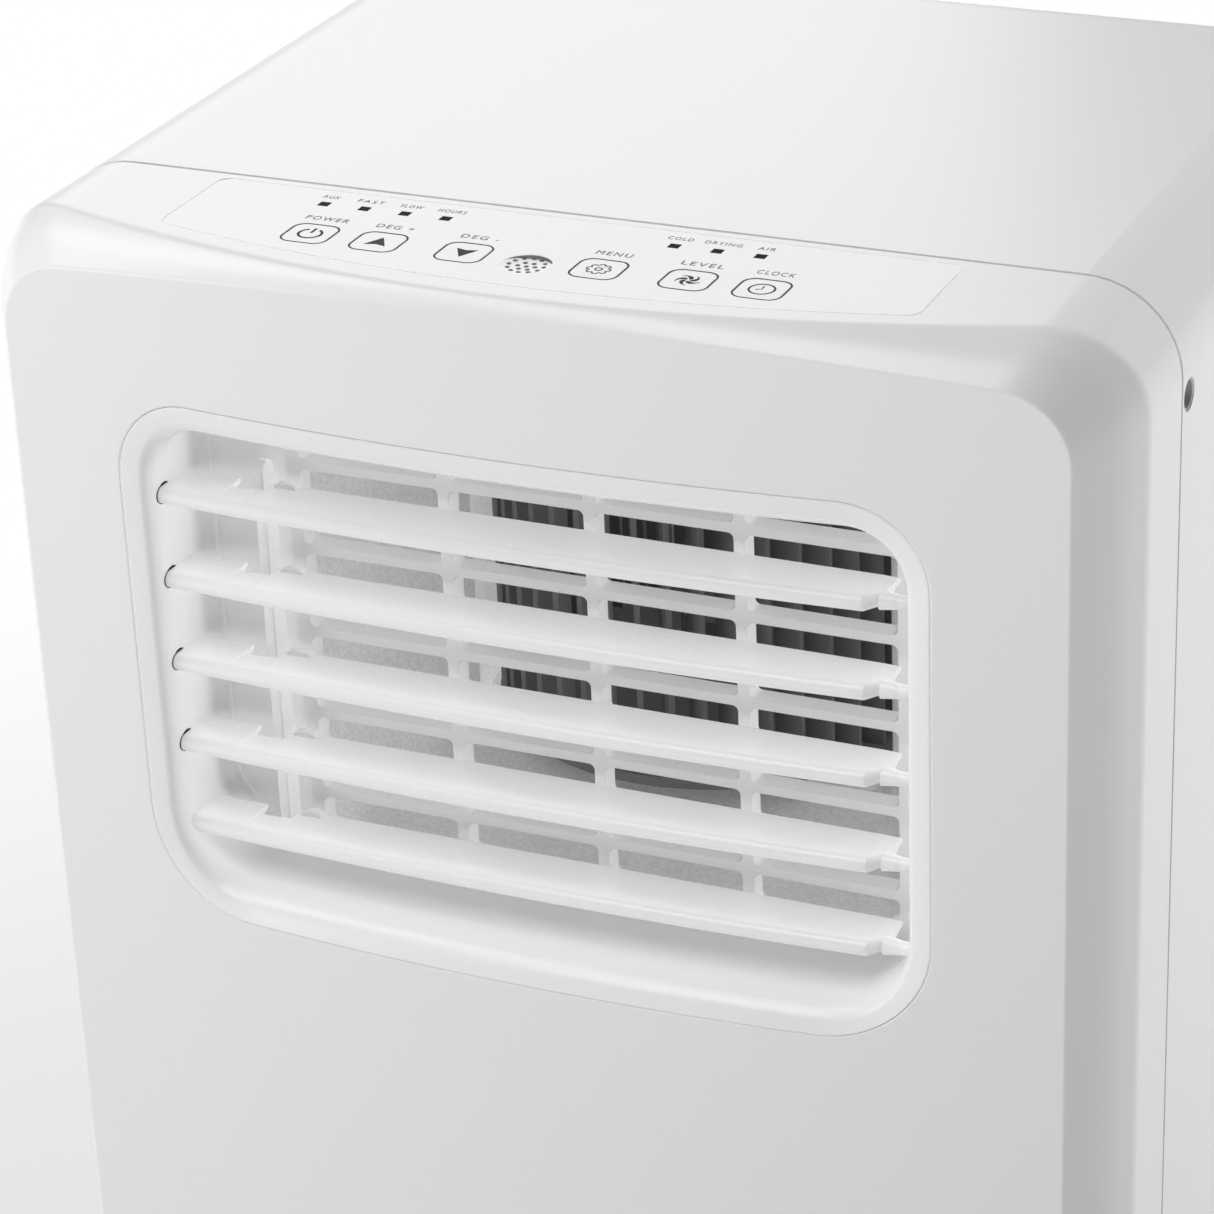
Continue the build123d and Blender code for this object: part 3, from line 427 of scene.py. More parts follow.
def make_seam_shadow():
    """Painted shade: a dark strip at the bottom of the gap between the cover and the casing, just inside the
    outer wall.
    """
    skin = Skin()
    inset, thick = 0.7, 0.8
    right = [(HALF_W - inset, BOTTOM)]
    right += [on_arc(HALF_W - LONG_EDGE_R, TOP - LONG_EDGE_R, LONG_EDGE_R - inset, math.radians(a))
              for a in spread(90, 0, 16)]
    outline = right + [(-x, z) for x, z in reversed(right)]
    front, back = Y_SEAM - SEAM_GAP, Y_SEAM
    rows = [[(x * (1 - step / HALF_W), y, z - step) for x, z in outline]
            for y, step in ((front, 0), (back, 0), (back, thick), (front, thick), (front, 0))]
    skin.grid(rows)
    skin.face(*[row[0] for row in rows[:4]])
    skin.face(*[row[-1] for row in rows[:4]])
    add_piece("seam_shadow", skin, "housing", painted_gap_shade)


def make_pad(skin, grow):
    """The bowed pad with the hole for the outlet, and the rounded edge of that hole."""
    half = WINDOW["half"] + grow
    turns = [mix(CORNER_START, math.pi / 2, i / CORNER_STEPS) for i in range(1, CORNER_STEPS + 1)]
    corner = [on_arc(PAD_HALF - PAD_CORNER_R, CORNER_Z, PAD_CORNER_R, a)[0] for a in turns]
    lines = []
    for x in pad_columns(grow) + corner:
        low, high = window_limits(x, grow)
        top = PAD_TOP - x * x / (2 * PAD_CROWN_R)
        if x > CROWN_END:
            past = x - (PAD_HALF - PAD_CORNER_R)
            top = CORNER_Z + math.sqrt(max(PAD_CORNER_R ** 2 - past ** 2, 0))
        lines.append((x, [top, high, low, BOTTOM]))
    for zone, rows in enumerate(SIDE_ROWS):
        strip = [[(x, pad_y(x), z) for z in spread(levels[zone], levels[zone + 1], rows)]
                 for x, levels in lines if zone != 1 or x > half - 0.001]
        skin.grid(strip)
        skin.grid([mirrored(line) for line in strip])
    throat_gap, throat_depth = 0.15, 4.0
    hole = opening_loop(grow, 0)
    throat = opening_loop(grow, grow - throat_gap)
    rounded = [tuple(mix(a, b, 0.7) for a, b in zip(p, q)) for p, q in zip(hole, throat)]
    skin.grid([hole, deeper(rounded, 0.18), deeper(throat, 0.6), deeper(throat, throat_depth)], closed=True)


def deeper(loop, depth):
    """The same loop, further into the cover."""
    return [(x, y + depth, z) for x, y, z in loop]


def opening_loop(grow, shrink):
    """Loop round the outlet opening on the pad's surface, at the columns and rows of the pad's mesh."""
    half = WINDOW["half"] + grow
    centre_z = (WINDOW["top"] + WINDOW["bottom"]) / 2
    half_z = (WINDOW["top"] - WINDOW["bottom"]) / 2 + grow
    across = [x for x in pad_columns(grow) if x < half + 0.001]
    low, high = window_limits(half, grow)
    right = [(x, window_limits(x, grow)[0]) for x in across]
    right += [(half, z) for z in spread(low, high, SIDE_ROWS[1])[1:-1]]
    right += [(x, window_limits(x, grow)[1]) for x in reversed(across)]
    left = [(-x, z) for x, z in reversed(right) if x > 0]
    loop = []
    for x, z in right + left:
        z = centre_z + (z - centre_z) * (1 - shrink / half_z)
        loop.append((x * (1 - shrink / half), pad_y(x), z))
    return loop


# ---------------------------------------------------------------- control panel
POCKET_GAP, POCKET_DEPTH, POCKET_LEDGE = 0.4, 1.6, 3.0
PANEL_CORNER_R, PANEL_BOW_R = 4.0, 440.0
PRINT_T = 0.04
KEYS = ("key_power", "key_temp_up", "key_temp_down", "key_mode", "key_speed", "key_timer")
KEY_HALF, KEY_R, OUTLINE_GAP, OUTLINE_W = 6.4, 3.2, 0.3, 0.5
LAMP_PITCH, LAMP_HALF = 12.15, 1.6
DISH_R, DISH_DEPTH, DOT_PITCH, DOT_R = 40.0, 0.65, 2.5, 0.68     # the receiver's dish, and its dots of painted shade for its small holes
SHADE_R, SHADE_W = 6.9, 2.1              # painted shade: dark crescent at the back of the dish
WORD_LIFT, WORD_H = 11.2, 2.6            # words of the keys: distance behind the key's middle, and height
LAMP_WORD_LIFT, LAMP_WORD_H = 3.8, 2.1   # the same for the lamps, from their back edge


def panel_half(grow, z):
    """Right half of the panel's outline: straight back, rounded corners, bowed front."""
    half, back, front = PANEL_HIGH.x + grow, PANEL_HIGH.y + grow, PANEL_LOW.y - grow
    front_x = half - 2 * PANEL_CORNER_R
    corners = [(0, back, z), (half, back, z), (half, front + half * half / (2 * PANEL_BOW_R), z),
               (front_x, front + front_x ** 2 / (2 * PANEL_BOW_R), z)]
    arc = [(x, front + x * x / (2 * PANEL_BOW_R), z) for x in spread(front_x, 0, 12)[1:]]
    return [tuple(p) for p in rounded_path(corners, [PANEL_CORNER_R] * 2, 5)] + arc


def panel_loop(grow, z):
    right = panel_half(grow, z)
    return right + mirrored(reversed(right[1:-1]))


def ribbon(skin, line, width, z, closed=False):
    """Flat raised stroke of even width along a line drawn in X and Y."""
    count = len(line)
    left, right = [], []
    for i, (x, y) in enumerate(line):
        before = line[i - 1] if closed or i else line[i]
        after = line[(i + 1) % count] if closed or i < count - 1 else line[i]
        along = (Vector(after) - Vector(before)).normalized() * width / 2
        left.append((x - along.y, y + along.x))
        right.append((x + along.y, y - along.x))
    sides = [(left, z), (left, z + PRINT_T), (right, z + PRINT_T), (right, z)]
    rows = [[(x, y, level) for x, y in side] for side, level in sides + sides[:1]]
    for upper, lower in zip(rows, rows[1:]):
        skin.grid([upper, lower], closed=closed)
    if not closed:
        skin.face(*[row[0] for row in rows[:4]])
        skin.face(*[row[-1] for row in rows[:4]])


def patch(skin, outline, z):
    """Flat raised shape with an outline in X and Y."""
    skin.prism([(x, y, z) for x, y in outline], (0, 0, PRINT_T))


def arc_points(cx, cy, radius, start, end, steps):
    return [(cx + radius * math.cos(math.radians(a)), cy + radius * math.sin(math.radians(a)))
            for a in spread(start, end, steps)]


def rounded_square(cx, cy, half, radius):
    outline = []
    side = half - radius
    for sx, sy, start in ((1, 1, 0), (-1, 1, 90), (-1, -1, 180), (1, -1, 270)):
        outline += arc_points(cx + sx * side, cy + sy * side, radius, start, start + 90, 8)
    return outline


def icon_power(skin, x, y, z):
    radius, stroke, gap_deg = 3.2, 0.75, 28
    ribbon(skin, arc_points(x, y, radius, 90 + gap_deg, 450 - gap_deg, 48), stroke, z)
    ribbon(skin, [(x, y + 0.5), (x, y + 3.9)], stroke, z)


def icon_triangle(skin, x, y, z, way):
    """Arrowhead with a notched base; it points back for way 1 and to the front for way -1."""
    corners = ((-3.1, -2.5), (0, -1.7), (3.1, -2.5), (0, 3.3))
    patch(skin, [(x + way * dx, y + way * dy) for dx, dy in corners], z)


def icon_gear(skin, x, y, z):
    teeth, stroke, hub_r = 8, 0.42, 0.95
    rim = []
    for tooth in range(teeth):
        # one tooth: turn in degrees and distance from the middle
        for turn, radius in ((-12, 3.2), (-4, 3.35), (4, 3.35), (12, 3.2), (17, 2.6), (28, 2.6)):
            a = math.radians(tooth * 360 / teeth + turn)
            rim.append((x + radius * math.cos(a), y + radius * math.sin(a)))
    ribbon(skin, rim, stroke, z, closed=True)
    ribbon(skin, arc_points(x, y, hub_r, 0, 345, 23), stroke, z, closed=True)


def icon_fan(skin, x, y, z):
    """Five curved blades, widest at the middle of their length."""
    blades, hub_r, tip_r, sweep_deg = 5, 0.7, 3.5, 62
    for blade in range(blades):
        outer, inner = [], []
        for t in spread(0, 1, 8):
            radius = mix(hub_r, tip_r, t)
            half = 0.15 + 0.62 * math.sin(math.pi * min(1, 0.08 + 0.85 * t))
            a = math.radians(blade * 360 / blades + sweep_deg * t * t)
            swing = half / radius
            outer.append((x + radius * math.cos(a + swing), y + radius * math.sin(a + swing)))
            inner.append((x + radius * math.cos(a - swing), y + radius * math.sin(a - swing)))
        patch(skin, inner + outer[::-1], z)


def icon_clock(skin, x, y, z):
    ribbon(skin, arc_points(x, y, 3.4, 0, 352.5, 47), 0.55, z, closed=True)
    ribbon(skin, [(x - 1.6, y - 0.6), (x, y), (x - 0.1, y + 2.1)], 0.4, z)


def make_key_print():
    """A symbol on each key, which goes down with it."""
    symbols = (icon_power, lambda *at: icon_triangle(*at, 1), lambda *at: icon_triangle(*at, -1), icon_gear,
               icon_fan, icon_clock)
    for node, draw in zip(KEYS, symbols):
        low, high = box_mm(node)
        skin = Skin()
        draw(skin, (low.x + high.x) / 2, (low.y + high.y) / 2, high.z)
        add_piece(node.replace("key", "symbol"), skin, node, print_grey)


def make_housing_print():
    """Outlines round the keys, and painted shade on the remote-control receiver: dots for its small holes and
    a crescent at the back of its dish.
    """
    lines, receiver_shade = Skin(), Skin()
    for node in KEYS:
        low, high = box_mm(node)
        x, y = (low.x + high.x) / 2, (low.y + high.y) / 2
        ribbon(lines, rounded_square(x, y, KEY_HALF + OUTLINE_GAP, KEY_R + OUTLINE_GAP),
               OUTLINE_W, TOP, closed=True)
    add_piece("key_outlines", lines, "housing", print_grey)
    low, high = box_mm("signal_receiver")
    centre_y = (low.y + high.y) / 2
    # grey dots of painted shade where the dish has its small holes
    for ring, count in ((0, 1), (DOT_PITCH, 6), (2 * DOT_PITCH, 12)):
        for i in range(count):
            turn = 2 * math.pi * i / count
            depth = DISH_DEPTH - (DISH_R - math.sqrt(DISH_R ** 2 - ring ** 2))
            centre = (ring * math.cos(turn), centre_y + ring * math.sin(turn))
            patch(receiver_shade, arc_points(*centre, DOT_R, 0, 330, 11), TOP - depth + PRINT_T)
    # painted shade: a dark crescent along the back of the dish
    rear = arc_points(0, centre_y, SHADE_R, 12, 168, 24)
    front = [(x, y - SHADE_W * (y - rear[0][1]) / (rear[12][1] - rear[0][1])) for x, y in rear]
    patch(receiver_shade, rear + front[-2:0:-1], TOP - 0.1)
    add_piece("receiver_painted_shade", receiver_shade, "housing", pale_print_and_shade)


def make_label(name, words, x, y, width, height, material):
    """One word printed on the panel, stretched to its width and its height."""
    text = bpy.data.curves.new(name, "FONT")
    text.body, text.extrude = words, PRINT_T / 2 * MM
    text.space_character = 1.25
    holder = bpy.data.objects.new(name + "_text", text)
    bpy.context.scene.collection.objects.link(holder)
    bpy.context.view_layer.update()
    mesh = bpy.data.meshes.new_from_object(holder)
    bpy.data.objects.remove(holder)
    low = [min(v.co[i] for v in mesh.vertices) for i in range(2)]
    high = [max(v.co[i] for v in mesh.vertices) for i in range(2)]
    for v in mesh.vertices:
        v.co.x = (x + ((v.co.x - low[0]) / (high[0] - low[0]) - 0.5) * width) * MM
        v.co.y = (y + ((v.co.y - low[1]) / (high[1] - low[1]) - 0.5) * height) * MM
        v.co.z += (TOP + PRINT_T / 2) * MM
    mesh.materials.clear()
    mesh.materials.append(material)
    label = bpy.data.objects.new(name, mesh)
    bpy.context.scene.collection.objects.link(label)
    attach(label, "housing")


def make_labels():
    """A generic word behind each key and each lamp."""
    key_words = (("POWER", 12.8), ("DEG +", 10.9), ("DEG -", 10.9), ("MENU", 10.1), ("LEVEL", 11.8),
                 ("CLOCK", 10.5))
    for node, (words, width) in zip(KEYS, key_words):
        low, high = box_mm(node)
        place = (low.x + high.x) / 2 - 0.4, (low.y + high.y) / 2 + WORD_LIFT
        make_label(node.replace("key", "word"), words, *place, width, WORD_H, pale_print_and_shade)
    low, high = box_mm("indicator_leds")
    y = high.y + LAMP_WORD_LIFT
    for i, (words, width) in enumerate((("AUX", 5.0), ("FAST", 7.9), ("SLOW", 6.6), ("HOURS", 8.2))):
        x = low.x + LAMP_HALF + i * LAMP_PITCH - 0.5
        make_label(f"light_word_{i + 1}", words, x, y, width, LAMP_WORD_H, pale_print_and_shade)
    for i, (words, width) in enumerate((("COLD", 7.2), ("DRYING", 10.4), ("AIR", 4.9))):
        x = high.x - LAMP_HALF - (2 - i) * LAMP_PITCH - 0.3
        make_label(f"light_word_{i + 5}", words, x, y, width, LAMP_WORD_H, pale_print_and_shade)


# ---------------------------------------------------------------- air outlet
def window_outline(half, z0, z1, r_top, r_bottom):
    """Closed outline in X and Z from the lower right corner; every outline has the same number of points."""
    corners = [(half - r_bottom, z0 + r_bottom, r_bottom, -90), (half - r_top, z1 - r_top, r_top, 0),
               (-half + r_top, z1 - r_top, r_top, 90), (-half + r_bottom, z0 + r_bottom, r_bottom, 180)]
    arcs = []
    for cx, cz, radius, start in corners:
        turns = [math.radians(a) for a in spread(start, start + 90, 12)]
        arcs.append([(cx + radius * math.cos(a), cz + radius * math.sin(a)) for a in turns])
    outline = []
    for i, arc in enumerate(arcs):
        after = arcs[(i + 1) % 4][0]
        steps = 10 if i % 2 == 0 else 30
        straight = zip(spread(arc[-1][0], after[0], steps), spread(arc[-1][1], after[1], steps))
        outline += arc + list(straight)[1:-1]
    return outline


def make_outlet_frame():
    """Ring flush with the pad, a band that slopes inwards, a rounded lip, and the tunnel to the guard."""
    half, z0, z1, r_top, r_bottom = (WINDOW[key] for key in ("half", "bottom", "top", "r_top", "r_bottom"))
    # inset at the sides, the bottom and the top; by how much the corners are tighter; depth behind the pad
    front_rows = [(0.0, 0.0, 0.0, 0.0, 8.0), (0.0, 0.0, 0.0, 0.0, 0.8), (0.12, 0.12, 0.12, 0.1, 0.35),
                  (0.5, 0.5, 0.5, 0.5, 0.12), (4.9, 3.2, 4.6, 4.0, 1.3), (6.0, 4.3, 6.0, 5.2, 1.9),
                  (6.8, 5.6, 7.4, 6.2, 3.2), (7.4, 7.0, 8.8, 7.2, 5.4), (7.7, 8.2, 9.8, 7.8, 8.5)]
    # the same for rows at a fixed distance in front of the guard
    back_rows = [(7.4, 11.2, 9.6, 10.0, 12.0), (7.6, 13.0, 10.2, 11.0, 5.0), (8.6, 14.6, 11.2, 12.0, 2.2),
                 (10.2, 16.4, 12.2, 13.0, 0.8), (12.0, 18.4, 13.2, 14.0, 0.2), (12.6, 18.8, 13.4, 14.0, -1.6)]
    rows = []
    for side, low, high, less, depth in front_rows:
        outline = window_outline(half - side, z0 + low, z1 - high, r_top - less, r_bottom - less)
        rows.append([(x, pad_y(x) + depth, z) for x, z in outline])
    for side, low, high, less, depth in back_rows:
        outline = window_outline(half - side, z0 + low, z1 - high, r_top - less, r_bottom - less)
        rows.append([(x, GRILLE_LOW.y - depth, z) for x, z in outline])
    skin = Skin()
    skin.grid(rows, closed=True)
    add_piece("outlet_surround", skin, "housing", outlet_white, ["outlet_frame"],
              sharp_deg=60, thickness=SURROUND_T)


GRID_LEFT, COLUMNS, COLUMN_PITCH, RIB = -75.8, 4, 43.4, 3.5
WIDER_LEFT, WIDER_RIGHT = 2.3, 2.5       # by this much the outer columns are wider than the others
SLOT_TOP, SLOT_H, SLOT_R, ROWS = TOP - 59.5, 9.7, 1.6, 10
ROW_PITCH = LOUVRE_PITCH / 2
SLOT_ROUND = 0.45                        # rounding of the slots' front edges
STRIP_STEP, STRIP_GAP = 1.4, 1.9         # set-back of the plain strip, and its distance from the slots


def slot_loop(cx, cz, width, grow, y):
    """Rounded slot of the guard in X and Z, from the middle of its top, clockwise."""
    half_w, half_h, radius = width / 2 + grow, SLOT_H / 2 + grow, SLOT_R + grow
    loop = [(cx, y, cz + half_h)]
    for sx, sz, start in ((1, 1, 90), (1, -1, 0), (-1, -1, -90), (-1, 1, -180)):
        for a in spread(start, start - 90, 5):
            turn = math.radians(a)
            loop.append((cx + sx * (half_w - radius) + radius * math.cos(turn), y,
                         cz + sz * (half_h - radius) + radius * math.sin(turn)))
        if (sx, sz) == (1, -1):
            loop.append((cx, y, cz - half_h))
    return loop


def make_outlet_grille():
    """Fixed guard: ten rows of rounded slots in four columns, and a plain strip on the left, a step back."""
    front, back = GRILLE_LOW.y, GRILLE_HIGH.y
    skin = Skin()
    top_z = SLOT_TOP + (ROW_PITCH - SLOT_H) / 2
    ribs = [GRID_LEFT + i * COLUMN_PITCH for i in range(COLUMNS + 1)]
    ribs[0], ribs[-1] = ribs[0] - WIDER_LEFT, ribs[-1] + WIDER_RIGHT
    for x0, x1 in zip(ribs, ribs[1:]):
        cx, width = (x0 + x1) / 2, x1 - x0 - RIB
        for j in range(ROWS):
            cz = top_z - (j + 0.5) * ROW_PITCH
            for y, grow in ((front, SLOT_ROUND), (back, 0.0)):
                loop = slot_loop(cx, cz, width, grow, y)
                lower = len(loop) // 2
                z0, z1 = cz - ROW_PITCH / 2, cz + ROW_PITCH / 2
                right_half = [(cx, y, z1), (x1, y, z1), (x1, y, z0), (cx, y, z0)]
                left_half = [(cx, y, z0), (x0, y, z0), (x0, y, z1), (cx, y, z1)]
                skin.face(*right_half, *reversed(loop[:lower + 1]))
                skin.face(*left_half, loop[0], *reversed(loop[lower:]))
            edge = ((SLOT_ROUND, front), (0.13, front + 0.13), (0.0, front + SLOT_ROUND), (0.0, back))
            skin.grid([slot_loop(cx, cz, width, grow, y) for grow, y in edge], closed=True)
    # margins round the slots
    left, right = ribs[0], ribs[-1]
    low_z, high_z = top_z - ROWS * ROW_PITCH, top_z
    across = [x for x0, x1 in zip(ribs, ribs[1:]) for x in (x0, (x0 + x1) / 2)] + [right]
    up = [low_z + j * ROW_PITCH for j in range(ROWS + 1)]
    plain_x, edge_x, corner = GRILLE_LOW.x, left - STRIP_GAP, 0.3
    for y in (front, back):
        for z_edge, z_out in ((high_z, GRILLE_HIGH.z), (low_z, GRILLE_LOW.z)):
            skin.grid([[(x, y, z_edge) for x in across], [(x, y, z_out) for x in across]])
            for inner, outer in ((right, GRILLE_HIGH.x), (left, edge_x)):
                skin.face((inner, y, z_edge), (outer, y, z_edge), (outer, y, z_out), (inner, y, z_out))
        skin.grid([[(right, y, z) for z in up], [(GRILLE_HIGH.x, y, z) for z in up]])
        skin.grid([[(left, y, z) for z in up], [(edge_x, y, z) for z in up]])
    rim_z = [GRILLE_LOW.z, *up, GRILLE_HIGH.z]
    strip = [(edge_x, front), (edge_x - corner, front + corner), (edge_x - corner, front + STRIP_STEP),
             (plain_x, front + STRIP_STEP), (plain_x, back), (edge_x, back)]
    skin.grid([[(x, y, z) for z in rim_z] for x, y in strip])
    skin.grid([[(GRILLE_HIGH.x, front, z) for z in rim_z], [(GRILLE_HIGH.x, back, z) for z in rim_z]])
    outline = strip[3::-1] + [(x, front) for x in across] + [(GRILLE_HIGH.x, front), (GRILLE_HIGH.x, back)]
    outline += [(x, back) for x in reversed(across)] + [strip[5], strip[4]]
    for z in (GRILLE_LOW.z, GRILLE_HIGH.z):
        skin.face(*[(x, y, z) for x, y in outline])
    add_piece("outlet_guard", skin, "housing", outlet_white, ["outlet_grille"], sharp_deg=45)


# ---------------------------------------------------------------- louvres
BLADE_LEFT, BLADE_RIGHT = -113.5, 101.0
NOSE_R, NOSE_END, NOSE_MID = 2.4, 2.6, 6.2        # bull nose; its reach before the hinge, ends and middle
TAIL, TAIL_R, TAIL_TOP = 12.0, 0.9, 1.4           # reach behind the hinge, rounding, height of the top face
NOTCH_LEFT, NOTCH_RIGHT, NOTCH_TAIL = -92.8, -82.0, 6.3
NOTCH_EASE_LEFT, NOTCH_EASE_RIGHT = 1.2, 0.4      # widths over which the notch gets deep
TIP_R, CHAMFER = 5.0, 4.5                         # rounded left end, chamfered right end
PIVOT_R, PIVOT_ROOT_R, PIVOT_END = 2.0, 2.7, WINDOW["half"] - 1.5
LINK_OFFSET, LINK_PIN_LEFT, LINK_PIN_R = 9.5, -86.2, 1.25
CLIP_X, CLIP_HALF, CLIP_RISE, CLIP_BASE = -77.2, 3.6, 1.7, 1.2
LINK_HALF, LINK_FRONT_R, LINK_REAR_R, LINK_EDGE = 3.5, 3.4, 3.2, 0.35
# painted shade rings round the pivots: half sizes in Y and Z, and thickness
SOCKET_HALF_Y, SOCKET_HALF_Z, SOCKET_T = 3.9, 3.1, 0.25
SOCKET_WALL, SOCKET_SHIFT = WINDOW["half"] - 7.5, 1.5     # side walls; shift of the painted shade ring before the hinge


def blade_section(x, z):
    """Outline of a louvre across its length: bull nose, flat top, thin rounded tail."""
    middle, half = (BLADE_LEFT + BLADE_RIGHT) / 2, (BLADE_RIGHT - BLADE_LEFT) / 2
    nose = NOSE_MID - (NOSE_MID - NOSE_END) * ((x - middle) / half) ** 2
    tail, thick = TAIL, 1.0                           # thick is a share of the full thickness
    from_left, from_right = x - BLADE_LEFT, BLADE_RIGHT - x
    # the left end is rounded, more at the nose than at the tail, and the right end is chamfered at the nose
    if from_left < TIP_R:
        round_off = TIP_R - math.sqrt(max(TIP_R ** 2 - (TIP_R - from_left) ** 2, 0))
        nose -= round_off * 0.8
        tail -= round_off * 0.5
    if from_left < NOSE_R:
        thick = 0.25 + 0.75 * math.sqrt(max(1 - (1 - from_left / NOSE_R) ** 2, 0))
    if from_right < CHAMFER:
        nose -= CHAMFER - from_right
        thick = 0.8 + 0.2 * from_right / CHAMFER
    notch = min(1, max(0, (x - NOTCH_LEFT) / NOTCH_EASE_LEFT))
    notch *= min(1, max(0, (NOTCH_RIGHT - x) / NOTCH_EASE_RIGHT))
    tail = mix(tail, NOTCH_TAIL, ease(notch))
    radius = NOSE_R * thick
    yn, yt = HINGE_Y - nose, HINGE_Y + tail
    top_z, tail_r = TAIL_TOP * thick, TAIL_R * thick
    low_z = top_z - 2 * tail_r
    outline = arc_points(yn, 0, radius, 270, 90, 14)
    outline += [(mix(yn, yt, t), mix(radius, top_z, ease(t))) for t in (0.12, 0.3, 0.5, 0.7, 0.85)]
    outline += arc_points(yt - tail_r, top_z - tail_r, tail_r, 90, -90, 6)
    outline += [(mix(yt, yn, t), mix(low_z, -radius, ease(t))) for t in (0.15, 0.3, 0.5, 0.7, 0.88)]
    return [(x, y, z + dz) for y, dz in outline]


def rod(skin, x0, x1, y, z, r0, r1=None, steps=20):
    """Round bar along X, with its ends a little rounded."""
    r1 = r0 if r1 is None else r1
    edge, end = 0.2, 0.86
    turns = [2 * math.pi * i / steps for i in range(steps)]
    rows = []
    for x, r in ((x0, r0 * end), (x0 + edge, r0), (x1 - edge, r1), (x1, r1 * end)):
        rows.append([(x, y + r * math.cos(a), z + r * math.sin(a)) for a in turns])
    skin.grid(rows, closed=True)
    skin.face(*rows[0])
    skin.face(*rows[-1])


def make_louvre(k):
    """Blade with its two pivots, the pin for the link bar and the raised clip beside the notch."""
    z = HINGE_Z - k * LOUVRE_PITCH
    tip = [BLADE_LEFT + TIP_R * (1 - math.cos(math.radians(a))) for a in spread(0, 90, 8)]
    notch = [NOTCH_LEFT + NOTCH_EASE_LEFT * t for t in spread(0, 1, 5)]
    notch += [NOTCH_RIGHT - NOTCH_EASE_RIGHT * t for t in spread(1, 0, 3)]
    plain = spread(NOTCH_RIGHT, BLADE_RIGHT - CHAMFER, 24)[1:]
    chamfer = spread(BLADE_RIGHT - CHAMFER, BLADE_RIGHT, 5)[1:]
    places = tip + spread(tip[-1], NOTCH_LEFT, 3)[1:-1] + notch + plain + chamfer
    skin = Skin()
    rows = [blade_section(x, z) for x in places]
    skin.grid(rows, closed=True)
    skin.face(*rows[0])
    skin.face(*rows[-1])
    rod(skin, BLADE_RIGHT - 1, BLADE_RIGHT + CHAMFER, HINGE_Y, z, PIVOT_ROOT_R, PIVOT_R)
    rod(skin, BLADE_RIGHT + 4, PIVOT_END, HINGE_Y, z, PIVOT_R)
    rod(skin, -PIVOT_END, BLADE_LEFT + 2, HINGE_Y, z, PIVOT_R)
    rod(skin, LINK_PIN_LEFT, NOTCH_RIGHT + 1, HINGE_Y + LINK_OFFSET, z, LINK_PIN_R)
    # the clip's arch in four rows from front to back, the outer two drawn in for rounded edges
    clip = []
    for from_tail, part in ((3.6, 0.86), (3.2, 1), (0.5, 1), (0.1, 0.86)):
        arch = [(math.cos(math.radians(a)), math.sin(math.radians(a))) for a in spread(0, 180, 12)]
        clip.append([(CLIP_X + CLIP_HALF * part * across, HINGE_Y + TAIL - from_tail,
                      z + CLIP_BASE + CLIP_RISE * part * up) for across, up in arch])
    skin.grid(clip)
    skin.grid([[row[0] for row in clip], [row[-1] for row in clip]])
    skin.face(*clip[0])
    skin.face(*clip[-1])
    name = f"louvre_{k + 1}"
    add_piece(f"blade_{k + 1}", skin, name, outlet_white, [name], sharp_deg=48)


def make_link_bar():
    """Upright bar that ties the louvres together, rounded over at its top."""
    name = "louvre_link_bar"
    low, high = box_mm(name)
    centre = (low.y + high.y) / 2
    front, rear = centre - LINK_HALF, centre + LINK_HALF
    side = [(rear, low.z)]
    side += arc_points(rear - LINK_REAR_R, high.z - LINK_REAR_R, LINK_REAR_R, 0, 90, 8)
    side += arc_points(front + LINK_FRONT_R, high.z - LINK_FRONT_R, LINK_FRONT_R, 90, 180, 10)
    side += [(front, low.z)]
    skin = Skin()
    rows = []
    ends = ((low.x, LINK_EDGE), (low.x + LINK_EDGE, 0), (high.x - LINK_EDGE, 0), (high.x, LINK_EDGE))
    for x, inset in ends:
        rows.append([(x, centre + (y - centre) * (1 - inset / LINK_HALF), z - inset if z > low.z else z)
                     for y, z in side])
    skin.grid(rows, closed=True)
    skin.face(*rows[0])
    skin.face(*rows[-1])
    add_piece("link_bar", skin, name, outlet_white, [name], sharp_deg=48)


def make_pivot_gap_shade():
    """Painted shade: dark rings round the louvre pivots where they enter the side walls of the outlet, for
    the shade in the gaps round them.
    """
    skin = Skin()
    for k in range(LOUVRES):
        z = HINGE_Z - k * LOUVRE_PITCH
        for side in (-1, 1):
            ring = [(side * SOCKET_WALL, HINGE_Y - SOCKET_SHIFT + SOCKET_HALF_Y * math.cos(math.radians(a)),
                     z + SOCKET_HALF_Z * math.sin(math.radians(a))) for a in spread(0, 345, 23)]
            skin.prism(ring, (-side * SOCKET_T, 0, 0))
    add_piece("pivot_gap_shade", skin, "housing", painted_gap_shade)


# ---------------------------------------------------------------- stage, in metres
FLOOR_REACH = 14.0
FADE_START, FADE_END = 0.3, 1.3          # distances from the object between which the floor turns white
LIGHT_AIM, LIGHT_DISTANCE = Vector((0, -0.08, 0.5)), 2.2


